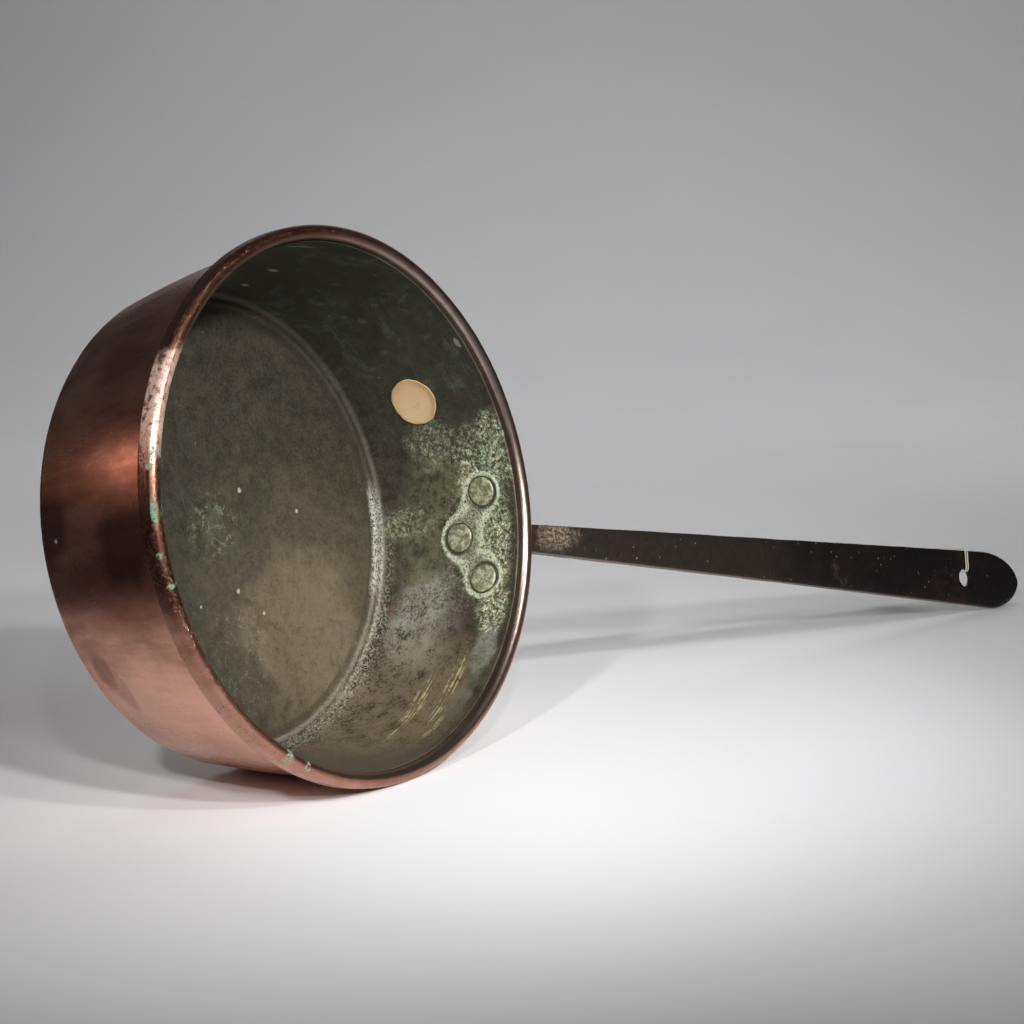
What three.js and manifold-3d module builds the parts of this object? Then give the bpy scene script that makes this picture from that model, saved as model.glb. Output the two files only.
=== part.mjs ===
// Copper saucepan: a raised copper bowl with a wired rim, tinned inside, and a long forged
// iron handle held by three copper rivets. A blank paper dot is stuck inside the wall, and a
// paper tag hangs on a loop of thin string from the hole in the end of the handle.
//
// Millimetres, +Z up. The origin is the centre of the underside of the base, and the handle
// points to -X. Everything on the handle's side is drawn pointing to +X, where its distances
// from the pan's axis read as plain x values, and one group turns it round by half a turn.

import * as THREE from 'three';
import { mergeVertices } from 'three/addons/utils/BufferGeometryUtils.js';
import Module from 'manifold-3d';

const wasm = await Module();
wasm.setup();

// ---- Driving dimensions ---------------------------------------------------------------------

const ROUND = 60; // facets round the pan
const GAP = 0.3; // clearance between pieces that rest on each other

// Bowl
const HEIGHT = 76.4; // underside of the base to the top of the rim
const RIM_R = 110; // outside of the rolled rim
const WALL_FOOT_R = 97.5; // outside of the wall, carried down to the underside of the base
const WALL_TOP_R = 105.6; // outside of the wall just under the roll
const WALL_BULGE = 1.2; // how far the wall swells past a straight cone at half height
const WALL_T = 1.5;
const BASE_T = 2;
const FOOT_CORNER_R = 5; // outer corner between the wall and the base

// Rolled rim and the iron hoop inside it
const ROLL_H = 8.4; // top of the rim down to the lip of the roll
const ROLL_T = 1; // copper, drawn thin where it is rolled
const LIP_CORNER_R = 1.8; // lower outer corner of the roll
const LIP_REACH = 2.4; // how far the lip turns back towards the wall
const HOOP_W = 2.7;
const HOOP_TOP = HEIGHT - 2.3;
const HOOP_BOTTOM = HEIGHT - 7;

// Tin lining
const TIN_T = 0.3;
const TIN_GAP = 0.1;
const TIN_TOP = HEIGHT - 4; // where the tin ends on the inner wall
const STEP_R = 91.8; // worn step round the edge of the flat floor of the pan
const STEP_H = 0.5;
const STEP_W = 3;

// Handle: x is the distance from the pan's axis
const PLATE_T = 3;
const LOBE_R = 9.2; // each lobe of the plate, round its rivet
const TOP_FILLET_R = 15; // hollow between the two upper lobes
const SIDE_FILLET_R = 24; // hollow between an upper lobe and the lower one
const BAR_ROOT_X = 106;
const BAR_TIP_X = 454.5;
const BAR_Z_AT_RIM = 55.9; // height of the bar's middle where it passes under the rim
const BAR_SLOPE = 0.2501;
const BAR_DROOP = 0.0000536; // the slope eases towards the tip, per millimetre squared
const BAR_W_AT_RIM = 11.9;
const BAR_W_AT_TIP = 31.3;
const TIP_ROUND_L = 28; // length of the half-ellipse that ends the bar
const TIP_BLUNT_W = 1.6;
const BAR_T = 3.6;
const BAR_T_ROOT_EXTRA = 3.4; // the bar is thicker near the pan
const BAR_T_FADE = 60;
const NECK_SPREAD = 6; // the bar widens as it grows out of the plate
const NECK_SWELL = 1.4; // and thickens
const NECK_DROP = 2.2; // and dips
const NECK_FADE = 5;
const EDGE_SHARPNESS = 0.45; // superellipse power of the bar's section
const HOLE_X = 411.6;
const HOLE_R = 4.55;

// Rivets: [angle from the handle's middle in degrees, height]
const RIVETS = [
  ['rivet_upper_right', 10.6, 55],
  ['rivet_upper_left', -10.6, 55],
  ['rivet_lower', 0, 41.8],
];
const SHANK_R = 3;
const HEAD_R = 6.2;
const HEAD_SEAT = 0.5; // an inner head's flat underside over the hollow wall
const HEAD_H = 0.8;
const DOME_R = 6;
const DOME_H = 2.5;
const ROUND_RIVET = 20;

// Paper dot inside the wall
const DOT_R = 10.8;
const DOT_Z = 34.4;
const DOT_ANGLE = 215.7; // degrees round the pan from +X
const DOT_T = 0.25;

// Tag and its string
const STRING_D = 0.7;
const STRING_STEPS = 56;
const STRING_APART = 0.75; // each of the two strands lies this far from the hole's middle
const TAG_W = 15;
const TAG_L = 24;
const TAG_T = 0.5;
const TAG_CORNER = 3.5; // the two cut corners beside the tag's hole
const TAG_HOLE_R = 1.8;
const TAG_HOLE_DOWN = 4; // hole below the tag's top edge
const TAG_Y = 16.2;
const TAG_DROP = 32; // lowest point of the string below the middle of the bar

// ---- Materials ------------------------------------------------------------------------------

const finish = (color, roughness, metalness) =>
  new THREE.MeshStandardMaterial({ color, roughness, metalness });

const COPPER = [0xa9604a, 0.3, 1];
const TIN = [0x5d5b4c, 0.6, 0.8];
const IRON = [0x2f2826, 0.55, 0.9];

// ---- Geometry helpers -----------------------------------------------------------------------

const degrees = THREE.MathUtils.degToRad;
const v2 = (r, z) => new THREE.Vector2(r, z);

// A profile of [radius, height] points turned about +Z.
function turned(points, segments = ROUND) {
  return new THREE.LatheGeometry(points, segments).rotateX(Math.PI / 2);
}

// Points along an arc of a profile, ends included.
function arc(r, z, radius, from, to, steps) {
  return Array.from({ length: steps + 1 }, (_, i) => {
    const a = degrees(from + ((to - from) * i) / steps);
    return v2(r + radius * Math.cos(a), z + radius * Math.sin(a));
  });
}

// The closed solid that a geometry encloses, for cutting and joining.
function solidOf(geometry) {
  const bare = geometry.clone();
  bare.deleteAttribute('normal');
  bare.deleteAttribute('uv');
  const merged = mergeVertices(bare, 1e-4);
  const corners = merged.index.array;
  const kept = [];
  for (let i = 0; i < corners.length; i += 3) {
    const [a, b, c] = corners.slice(i, i + 3);
    if (a !== b && b !== c && c !== a) kept.push(a, b, c);
  }
  const mesh = new wasm.Mesh({
    numProp: 3,
    vertProperties: new Float32Array(merged.attributes.position.array),
    triVerts: new Uint32Array(kept),
  });
  return new wasm.Manifold(mesh);
}

function geometryOf(solid) {
  const mesh = solid.getMesh();
  const geometry = new THREE.BufferGeometry();
  geometry.setAttribute('position', new THREE.BufferAttribute(mesh.vertProperties, 3));
  geometry.setIndex(new THREE.BufferAttribute(mesh.triVerts, 1));
  return geometry.toNonIndexed();
}

function named(name, geometry, [color, roughness, metalness]) {
  geometry.computeVertexNormals();
  const mesh = new THREE.Mesh(geometry, finish(color, roughness, metalness));
  mesh.name = name;
  return mesh;
}

// ---- The bowl's shape -----------------------------------------------------------------------

const LIP_Z = HEIGHT - ROLL_H;

// Outer radius of the wall at a height.
function wallR(z) {
  const up = z / LIP_Z;
  return THREE.MathUtils.lerp(WALL_FOOT_R, WALL_TOP_R, up) + WALL_BULGE * 4 * up * (1 - up);
}

// Inner radius of the copper wall at a height; above the lip the wall thins into the roll.
function wallInnerR(z) {
  return wallR(Math.min(z, LIP_Z)) - WALL_T;
}

// The wall's surface moved in or out by an offset, between two heights.
function wallLine(radiusAt, from, to, steps, offset = 0) {
  return Array.from({ length: steps + 1 }, (_, i) => {
    const z = from + ((to - from) * i) / steps;
    return v2(radiusAt(z) + offset, z);
  });
}

const ROLL_HALF_W = (RIM_R - (WALL_TOP_R - WALL_T)) / 2;
const ROLL_MID_R = RIM_R - ROLL_HALF_W;
const ROLL_MID_Z = HEIGHT - ROLL_HALF_W;
const INNER_CORNER_R = FOOT_CORNER_R - WALL_T;
const FOOT_R = wallR(FOOT_CORNER_R) - FOOT_CORNER_R;
const LIP_MID_R = RIM_R - LIP_CORNER_R;
const LIP_MID_Z = LIP_Z + LIP_CORNER_R;
const LIP_END_R = LIP_MID_R - LIP_REACH + LIP_CORNER_R;

function bowlGeometry() {
  const rollOutside = [
    ...arc(LIP_MID_R, LIP_MID_Z, LIP_CORNER_R, -90, 0, 3),
    ...arc(ROLL_MID_R, ROLL_MID_Z, ROLL_HALF_W, 0, 180, 8),
  ];
  const rollInside = [
    ...arc(ROLL_MID_R, ROLL_MID_Z, ROLL_HALF_W - ROLL_T, 180, 0, 6),
    ...arc(LIP_MID_R, LIP_MID_Z, LIP_CORNER_R - ROLL_T, 0, -90, 2),
  ];
  const profile = [
    v2(0, 0),
    ...arc(FOOT_R, FOOT_CORNER_R, FOOT_CORNER_R, -90, -5, 4),
    ...wallLine(wallR, 2 * FOOT_CORNER_R, LIP_Z, 5),
    ...rollInside,
    v2(LIP_END_R, LIP_Z + ROLL_T),
    v2(LIP_END_R, LIP_Z),
    ...rollOutside,
    ...wallLine(wallInnerR, LIP_Z, BASE_T + INNER_CORNER_R + 2, 5),
    ...arc(FOOT_R, BASE_T + INNER_CORNER_R, INNER_CORNER_R, 0, -90, 3),
    v2(0, BASE_T),
  ];
  return turned(profile);
}

// The iron hoop that the rim is rolled over: a flat section with rounded edges.
function hoopGeometry() {
  const half = HOOP_W / 2;
  const middle = ROLL_MID_R + 0.1;
  const upper = arc(middle, HOOP_TOP - half, half, 0, 180, 5);
  const lower = arc(middle, HOOP_BOTTOM + half, half, 180, 360, 5);
  return turned([...upper, ...lower, upper[0].clone()]);
}

// The tin skin over the floor and the wall, with the worn step round the floor's edge.
function liningGeometry() {
  const cornerOut = INNER_CORNER_R - TIN_GAP;
  const cornerIn = cornerOut - TIN_T;
  const cornerZ = BASE_T + INNER_CORNER_R;
  const under = BASE_T + TIN_GAP;
  const floor = under + TIN_T;
  const wallFrom = cornerZ + 2;
  const profile = [
    v2(0, under),
    ...arc(FOOT_R, cornerZ, cornerOut, -90, 0, 3),
    ...wallLine(wallInnerR, wallFrom, TIN_TOP, 5, -TIN_GAP),
    ...wallLine(wallInnerR, TIN_TOP, wallFrom, 5, -TIN_GAP - TIN_T),
    ...arc(FOOT_R, cornerZ, cornerIn, 0, -90, 3),
    v2(STEP_R + STEP_W / 2, floor),
    v2(STEP_R, floor + STEP_H),
    v2(STEP_R - STEP_W / 2, floor),
    v2(0, floor),
  ];
  return turned(profile);
}

// ---- Rivets ---------------------------------------------------------------------------------

// A group whose +Z is the outward normal of the wall at an angle and a height.
function onWall(angle, z) {
  const lean = Math.atan((wallR(z + 1) - wallR(z - 1)) / 2);
  const place = new THREE.Group();
  place.rotation.set(0, Math.PI / 2 + lean, degrees(angle), 'ZYX');
  place.position.set(wallR(z), 0, z).applyAxisAngle(new THREE.Vector3(0, 0, 1), degrees(angle));
  place.updateMatrixWorld(true);
  return place;
}

// Turned about the rivet's own axis, with 0 at the wall's outer face.
function rivetGeometry() {
  const innerSeat = -WALL_T - HEAD_SEAT;
  const outerSeat = GAP + PLATE_T + GAP;
  const profile = [
    v2(0, innerSeat - HEAD_H - 0.1),
    v2(HEAD_R * 0.8, innerSeat - HEAD_H),
    v2(HEAD_R, innerSeat - HEAD_H / 2),
    v2(HEAD_R, innerSeat),
    v2(SHANK_R, innerSeat),
    v2(SHANK_R, outerSeat),
    v2(DOME_R, outerSeat),
    v2(DOME_R * 0.93, outerSeat + DOME_H * 0.45),
    v2(DOME_R * 0.66, outerSeat + DOME_H * 0.85),
    v2(0, outerSeat + DOME_H),
  ];
  return turned(profile, ROUND_RIVET);
}

// A round punch along a rivet's axis, to open a hole of a given radius.
function rivetPunch(place, radius, length = 16) {
  const punch = new THREE.CylinderGeometry(radius, radius, length, ROUND_RIVET);
  return solidOf(punch.rotateX(Math.PI / 2).applyMatrix4(place.matrixWorld));
}

const rivetPlaces = RIVETS.map(([, angle, z]) => onWall(angle, z));

function withRivetHoles(solid, radius) {
  return rivetPlaces.reduce((cut, place) => cut.subtract(rivetPunch(place, radius)), solid);
}

// ---- Handle ---------------------------------------------------------------------------------

const pastRim = (x) => x - RIM_R;
const neck = (x) => Math.exp(-(x - BAR_ROOT_X) / NECK_FADE);

function barZ(x) {
  const d = pastRim(x);
  return BAR_Z_AT_RIM + BAR_SLOPE * d - BAR_DROOP * d * d - NECK_DROP * neck(x);
}

function barThickness(x) {
  return BAR_T + BAR_T_ROOT_EXTRA * Math.exp(-pastRim(x) / BAR_T_FADE) + NECK_SWELL * neck(x);
}

function barWidth(x) {
  const along = pastRim(x) / (BAR_TIP_X - RIM_R);
  const taper = THREE.MathUtils.lerp(BAR_W_AT_RIM, BAR_W_AT_TIP, along);
  const intoTip = Math.max(0, (x - (BAR_TIP_X - TIP_ROUND_L)) / TIP_ROUND_L);
  const rounded = taper * Math.sqrt(Math.max(0, 1 - intoTip * intoTip));
  return Math.max(rounded, TIP_BLUNT_W) + NECK_SPREAD * neck(x);
}

// The places along the bar where its section is set: close at the neck, and by equal angles
// round the tip.
function barStations() {
  const straight = 26;
  const round = 12;
  const roundFrom = BAR_TIP_X - TIP_ROUND_L;
  const xs = [];
  for (let i = 0; i < straight; i++) {
    xs.push(BAR_ROOT_X + (roundFrom - BAR_ROOT_X) * (i / straight) ** 1.7);
  }
  for (let i = 0; i <= round; i++) {
    xs.push(roundFrom + TIP_ROUND_L * Math.sin(degrees((90 * i) / round)));
  }
  return xs;
}

// A cylinder whose rings are drawn out into the bar's sections.
function barGeometry() {
  const xs = barStations();
  const steps = xs.length - 1;
  const bar = new THREE.CylinderGeometry(1, 1, 1, 16, steps);
  const position = bar.attributes.position;
  const power = (value) => Math.sign(value) * Math.abs(value) ** EDGE_SHARPNESS;
  for (let i = 0; i < position.count; i++) {
    const x = xs[Math.round((position.getY(i) + 0.5) * steps)];
    const across = position.getZ(i);
    const up = position.getX(i);
    const radius = Math.hypot(across, up);
    const y = radius < 0.5 ? 0 : (power(across / radius) * barWidth(x)) / 2;
    const z = radius < 0.5 ? 0 : (power(up / radius) * barThickness(x)) / 2;
    position.setXYZ(i, x, y, barZ(x) + z);
  }
  return bar;
}

// Outline round the three rivets: round lobes joined by hollow arcs that meet them smoothly.
function plateOutline() {
  const centres = RIVETS.map(([, angle, z]) => v2(wallR(z) * Math.sin(degrees(angle)), z));
  const fillets = [TOP_FILLET_R, SIDE_FILLET_R, SIDE_FILLET_R];
  const hollows = centres.map((a, i) => {
    const b = centres[(i + 1) % centres.length];
    const half = a.distanceTo(b) / 2;
    const reach = LOBE_R + fillets[i];
    const out = v2(b.y - a.y, a.x - b.x).normalize();
    const middle = a.clone().add(b).multiplyScalar(0.5);
    return middle.addScaledVector(out, Math.sqrt(reach * reach - half * half));
  });
  const heading = (from, to) => Math.atan2(to.y - from.y, to.x - from.x);
  const outline = new THREE.Shape();
  centres.forEach((centre, i) => {
    const before = hollows[(i + hollows.length - 1) % hollows.length];
    const after = hollows[i];
    const next = centres[(i + 1) % centres.length];
    const start = heading(centre, before);
    outline.absarc(centre.x, centre.y, LOBE_R, start, heading(centre, after), false);
    outline.absarc(after.x, after.y, fillets[i], heading(after, centre), heading(after, next), true);
  });
  return outline;
}

// The plate is the outline pushed through a shell that follows the outside of the wall.
function plateSolid() {
  const outer = wallLine(wallR, 25, LIP_Z - 1, 8, GAP + PLATE_T);
  const inner = wallLine(wallR, LIP_Z - 1, 25, 8, GAP);
  const shell = turned([...outer, ...inner, outer[0].clone()], 2 * ROUND);
  const prism = new THREE.ExtrudeGeometry(plateOutline(), {
    depth: 60,
    bevelEnabled: false,
    curveSegments: 10,
  });
  // The outline's x and y are the part's y and z; the prism's depth runs along x.
  const swap = new THREE.Matrix4().set(0, 0, 1, 70, 1, 0, 0, 0, 0, 1, 0, 0, 0, 0, 0, 1);
  return solidOf(shell).intersect(solidOf(prism.applyMatrix4(swap)));
}

function handleGeometry() {
  const slope = Math.atan(BAR_SLOPE - 2 * BAR_DROOP * pastRim(HOLE_X));
  const punch = new THREE.CylinderGeometry(HOLE_R, HOLE_R, 20, 28);
  punch.rotateX(Math.PI / 2).rotateY(-slope).translate(HOLE_X, 0, barZ(HOLE_X));
  const forged = plateSolid().add(solidOf(barGeometry()));
  return geometryOf(withRivetHoles(forged, SHANK_R + GAP).subtract(solidOf(punch)));
}

// ---- Paper dot ------------------------------------------------------------------------------

function dotGeometry() {
  const onTin = -TIN_GAP - TIN_T - 0.1;
  const outer = wallLine(wallInnerR, DOT_Z - 15, DOT_Z + 15, 6, onTin);
  const inner = wallLine(wallInnerR, DOT_Z + 15, DOT_Z - 15, 6, onTin - DOT_T);
  const skin = solidOf(turned([...outer, ...inner, outer[0].clone()]));
  const place = onWall(0, DOT_Z);
  const disc = new THREE.CylinderGeometry(DOT_R, DOT_R, 16, 32);
  disc.rotateX(Math.PI / 2).applyMatrix4(place.matrixWorld).rotateZ(degrees(DOT_ANGLE));
  return geometryOf(skin.intersect(solidOf(disc)));
}

// ---- Tag and string -------------------------------------------------------------------------

// A point beside the hanging hole: along the bar, across it, and above its middle.
function byHole(along, y, up) {
  const slope = BAR_SLOPE - 2 * BAR_DROOP * pastRim(HOLE_X);
  return new THREE.Vector3(HOLE_X + along, y, barZ(HOLE_X) + slope * along + up);
}

// The string comes up through the hole, over the bar's edge and down to the tag, through the
// tag's hole, and back the same way beside itself. Each row is [along, across, up].
const STRING_ROUTE = [
  [-STRING_APART, 3.1, -0.6],
  [-STRING_APART, 3.2, 1.2],
  [-STRING_APART, 3.7, 2.4],
  [-STRING_APART, 5, 2.9],
  [-STRING_APART, 9, 2.9],
  [-STRING_APART, 13.4, 2.8],
  [-STRING_APART, 14.9, 2.2],
  [-STRING_APART, 15.5, 0.6],
  [-STRING_APART, 15.4, -3],
  [-0.7, 15, -10],
  [-0.6, 14.7, -20],
  [-0.3, 14.7, -28],
  [0, 14.75, -TAG_DROP + 1.4],
  [0, 15.2, -TAG_DROP + 0.4],
  [0, TAG_Y, -TAG_DROP],
  [0, 17.2, -TAG_DROP + 0.4],
  [0, 17.65, -TAG_DROP + 1.4],
  [0.3, 17.7, -28],
  [0.6, 17.6, -20],
  [0.7, 16.8, -10],
  [STRING_APART, 15.6, -3],
  [STRING_APART, 15.5, 0.6],
  [STRING_APART, 14.9, 2.2],
  [STRING_APART, 13.4, 2.8],
  [STRING_APART, 9, 2.9],
  [STRING_APART, 5, 2.9],
  [STRING_APART, 3.7, 2.4],
  [STRING_APART, 3.2, 1.2],
  [STRING_APART, 3.1, -0.6],
];

function stringGeometry() {
  const section = new THREE.Shape();
  section.absarc(0, 0, STRING_D / 2, 0, 2 * Math.PI, false);
  return new THREE.ExtrudeGeometry(section, {
    steps: STRING_STEPS,
    curveSegments: 4,
    bevelEnabled: false,
    extrudePath: new THREE.CatmullRomCurve3(STRING_ROUTE.map((row) => byHole(...row))),
  });
}

// The card is drawn flat, with its hole at the origin, and stood up below the string.
function tagGeometry() {
  const half = TAG_W / 2;
  const top = TAG_HOLE_DOWN;
  const card = new THREE.Shape([
    v2(-half, top - TAG_L),
    v2(half, top - TAG_L),
    v2(half, top - TAG_CORNER),
    v2(half - TAG_CORNER, top),
    v2(TAG_CORNER - half, top),
    v2(-half, top - TAG_CORNER),
  ]);
  card.holes.push(new THREE.Path().absarc(0, 0, TAG_HOLE_R, 0, 2 * Math.PI, true));
  const hangs = byHole(0, TAG_Y, -TAG_DROP);
  const stringInHole = TAG_HOLE_R - STRING_D / 2 - GAP;
  return new THREE.ExtrudeGeometry(card, { depth: TAG_T, bevelEnabled: false, curveSegments: 8 })
    .translate(0, 0, -TAG_T / 2)
    .rotateX(Math.PI / 2)
    .translate(hangs.x, hangs.y, hangs.z - stringInHole);
}

// ---- Assembly -------------------------------------------------------------------------------

const handleSide = new THREE.Group();
handleSide.rotation.z = Math.PI;
handleSide.add(named('handle', handleGeometry(), IRON));
RIVETS.forEach(([name], i) => {
  const rivet = named(name, rivetGeometry(), COPPER);
  rivetPlaces[i].add(rivet);
  handleSide.add(rivetPlaces[i]);
});
handleSide.add(named('tag_string', stringGeometry(), [0xe4e0d6, 0.9, 0]));
handleSide.add(named('paper_tag', tagGeometry(), [0xe9e7e0, 0.85, 0]));

// The bowl's rivet holes are cut on the handle's side before they are turned with it.
const pierced = (geometry, radius) =>
  geometryOf(withRivetHoles(solidOf(geometry), radius)).rotateZ(Math.PI);

const saucepan = new THREE.Group();
saucepan.add(named('pan_body', pierced(bowlGeometry(), SHANK_R + GAP), COPPER));
saucepan.add(named('rim_wire', hoopGeometry(), IRON));
saucepan.add(named('tin_lining', pierced(liningGeometry(), HEAD_R + GAP), TIN));
saucepan.add(named('paper_dot', dotGeometry(), [0xd9b98a, 0.85, 0]));
saucepan.add(handleSide);

export default saucepan;
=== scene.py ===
"""Looks of the copper saucepan: camera, string, stage and light, then each piece with its material.

Shapes are worked out in millimetres, in the part's frame, and turned into metres where a mesh,
a lamp or the camera is made. The pan stands upright in its own frame, with its handle towards
-X; the staged floor leans against it, so that the camera sees it lying on its rim and its
handle's tip.
"""

import math

import bmesh
import bpy
import numpy as np
from mathutils import Matrix, Vector, noise


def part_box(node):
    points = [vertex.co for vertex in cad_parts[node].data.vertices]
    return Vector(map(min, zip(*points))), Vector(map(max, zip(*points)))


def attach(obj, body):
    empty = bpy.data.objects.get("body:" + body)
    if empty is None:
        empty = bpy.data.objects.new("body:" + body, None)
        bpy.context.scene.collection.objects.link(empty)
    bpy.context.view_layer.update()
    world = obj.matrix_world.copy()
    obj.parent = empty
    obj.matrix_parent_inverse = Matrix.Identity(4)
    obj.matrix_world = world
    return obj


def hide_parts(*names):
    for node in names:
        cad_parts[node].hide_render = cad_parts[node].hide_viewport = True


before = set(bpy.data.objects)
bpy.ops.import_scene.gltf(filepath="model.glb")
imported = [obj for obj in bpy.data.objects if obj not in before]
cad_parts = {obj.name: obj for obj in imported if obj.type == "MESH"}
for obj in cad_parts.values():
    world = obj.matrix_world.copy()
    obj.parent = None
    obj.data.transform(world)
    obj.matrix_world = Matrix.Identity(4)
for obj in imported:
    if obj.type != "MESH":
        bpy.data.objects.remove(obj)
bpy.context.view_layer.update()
MM = 0.001

# ---- Driving dimensions, in millimetres ------------------------------------------------------

PAN_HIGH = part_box("pan_body")[1] / MM
HANDLE_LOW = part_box("handle")[0] / MM

# Bowl
HEIGHT = PAN_HIGH.z
RIM_R = PAN_HIGH.y
WALL_FOOT_R = 97.5
WALL_TOP_R = 105.6
WALL_BULGE = 1.2
WALL_T = 1.5
BASE_T = 2
FOOT_CORNER_R = 5

# Rolled rim and the hoop in it
LIP_Z = HEIGHT - 8.4
ROLL_T = 1
ROLL_HALF_W = (RIM_R - WALL_TOP_R + WALL_T) / 2
ROLL_MID_R = RIM_R - ROLL_HALF_W
ROLL_MID_Z = HEIGHT - ROLL_HALF_W
LIP_CORNER_R = 1.8
LIP_MID_R = RIM_R - LIP_CORNER_R
LIP_MID_Z = LIP_Z + LIP_CORNER_R
LIP_END_R = LIP_MID_R - 0.6

# Tin, with a raised line round the rivets, its lobes softly joined
TIN_T = 0.3
TIN_GAP = 0.1
TIN_TOP = HEIGHT - 4
STEP_R = 91.8
SEAT_LOBE_R = 9
SEAT_SOFT = 7

# Rivets: [angle round the pan from +X in degrees, height]
RIVETS = {
    "rivet_upper_right": (190.6, 55),
    "rivet_upper_left": (169.4, 55),
    "rivet_lower": (180, 41.8),
}
RIVET_SHANK_R = 3
RIVET_HEAD_R = 6.2
RIVET_DOME_R = 6
RIVET_DOME_H = 2.5
RIVET_PLAY = 0.3  # round a shank in its holes

# Handle: x is the distance from the pan's axis
PLATE_GAP = 0.3
PLATE_T = 3
PLATE_MID_Z = 50.5
LOBE_R = 9.2
LOBE_SOFT = 2.6
BAR_ROOT_X = 106
BAR_TIP_X = -HANDLE_LOW.x
BAR_Z_AT_RIM = 55.9
BAR_SLOPE = 0.2501
BAR_DROOP = 0.0000536
BAR_W_AT_RIM = 11.9
BAR_W_AT_TIP = 31.3
TIP_ROUND_L = 28
TIP_BLUNT_W = 1.6
BAR_T = 3.6
BAR_T_ROOT_EXTRA = 3.4
BAR_T_FADE = 60
NECK_SPREAD = 6
NECK_SWELL = 1.4
NECK_DROP = 2.2
NECK_FADE = 5
EDGE_SHARPNESS = 0.45
HOLE_X = 411.6
HOLE_R = 4.55
HOLE_FLARE = 1
FLARE_TOP = 0.4  # heights along the hole between which it widens
FLARE_BOTTOM = -1.8
EATEN_X = 141  # where rust has eaten the bar
HANDLE_VOXEL = 0.52

# Paper dot, tag and string
DOT_R = 10.8
DOT_Z = 34.4
DOT_ANGLE = 215.7
STRING_D = 0.7
STRING_APART = 0.75
TAG_W = 15
TAG_L = 24
TAG_T = 0.5
TAG_CORNER = 3.5
TAG_HOLE_R = 1.8
TAG_HOLE_DOWN = 4
TAG_Y = 16.2
TAG_DROP = 32


# ---- The CAD model's curves ------------------------------------------------------------------

def wall_r(z):
    """Outer radius of the wall at a height."""
    up = z / LIP_Z
    return WALL_FOOT_R + (WALL_TOP_R - WALL_FOOT_R) * up + WALL_BULGE * 4 * up * (1 - up)


def wall_inner_r(z):
    """Inner radius of the wall at a height, carried straight up inside the roll."""
    return wall_r(np.minimum(z, LIP_Z)) - WALL_T


FOOT_R = wall_r(FOOT_CORNER_R) - FOOT_CORNER_R


def past_rim(x):
    return x - RIM_R


def neck(x):
    """1 where the bar grows out of the plate, fading along it."""
    return np.exp(-(x - BAR_ROOT_X) / NECK_FADE)


def bar_z(x):
    """Height of the bar's middle."""
    out = past_rim(x)
    return BAR_Z_AT_RIM + BAR_SLOPE * out - BAR_DROOP * out**2 - NECK_DROP * neck(x)


def bar_slope(x):
    return BAR_SLOPE - 2 * BAR_DROOP * past_rim(x)


def bar_thickness(x):
    return BAR_T + BAR_T_ROOT_EXTRA * np.exp(-past_rim(x) / BAR_T_FADE) + NECK_SWELL * neck(x)


def bar_width(x):
    taper = BAR_W_AT_RIM + (BAR_W_AT_TIP - BAR_W_AT_RIM) * past_rim(x) / past_rim(BAR_TIP_X)
    into_tip = np.clip((x - BAR_TIP_X + TIP_ROUND_L) / TIP_ROUND_L, 0, 1)
    return np.maximum(taper * np.sqrt(1 - into_tip**2), TIP_BLUNT_W) + NECK_SPREAD * neck(x)


# ---- Scene -----------------------------------------------------------------------------------

def linked(name, data):
    """A new object in the scene."""
    thing = bpy.data.objects.new(name, data)
    bpy.context.scene.collection.objects.link(thing)
    return thing


# ---- Camera ----------------------------------------------------------------------------------

CAMERA_AIM = Vector((-36.4, 4.8, 121.6)) * MM
CAMERA_DISTANCE = 852 * MM
CAMERA_AZIMUTH = 101.17
CAMERA_ELEVATION = 37.29
CAMERA_ROLL = 81.68
CAMERA_LENS = 77.08


def make_camera():
    """A camera that looks at the aim point from an azimuth (0 looks along +Y) and an elevation."""
    a, e, roll = map(math.radians, (CAMERA_AZIMUTH, CAMERA_ELEVATION, CAMERA_ROLL))
    back = Vector((math.sin(a) * math.cos(e), -math.cos(a) * math.cos(e), math.sin(e)))
    level = Vector((math.cos(a), math.sin(a), 0))
    right = math.cos(roll) * level + math.sin(roll) * back.cross(level)
    data = bpy.data.cameras.new("camera")
    data.lens = CAMERA_LENS
    data.clip_start = 0.01
    data.clip_end = 20
    camera = linked("camera", data)
    camera.matrix_world = Matrix((right, back.cross(right), back)).transposed().to_4x4()
    camera.location = CAMERA_AIM + back * CAMERA_DISTANCE
    bpy.context.scene.camera = camera
    return camera


camera = make_camera()


# ---- Mesh helpers ----------------------------------------------------------------------------

def new_piece(name, mesh, node):
    """An object for a finished mesh, riding on the pan in place of a CAD node."""
    piece = linked(name, mesh)
    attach(piece, "root")
    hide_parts(node)
    return piece


def ring_mesh(name, points, loop=False):
    """A smooth mesh from points[column, row]: the columns go round in a ring, and with loop the
    rows close too. Points that meet, as at a pole, are merged."""
    columns, rows = points.shape[:2]
    i, j = np.meshgrid(np.arange(columns), np.arange(rows if loop else rows - 1), indexing="ij")
    across, along = (i + 1) % columns, (j + 1) % rows
    corners = (i * rows + j, across * rows + j, across * rows + along, i * rows + along)
    faces = np.stack(corners, axis=-1).reshape(-1, 4)
    mesh = bpy.data.meshes.new(name)
    mesh.from_pydata((points.reshape(-1, 3) * MM).tolist(), [], faces.tolist())
    tidy = bmesh.new()
    tidy.from_mesh(mesh)
    bmesh.ops.remove_doubles(tidy, verts=tidy.verts, dist=1e-6)
    bmesh.ops.dissolve_degenerate(tidy, edges=tidy.edges, dist=1e-7)
    tidy.to_mesh(mesh)
    tidy.free()
    mesh.shade_smooth()
    return mesh


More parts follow.
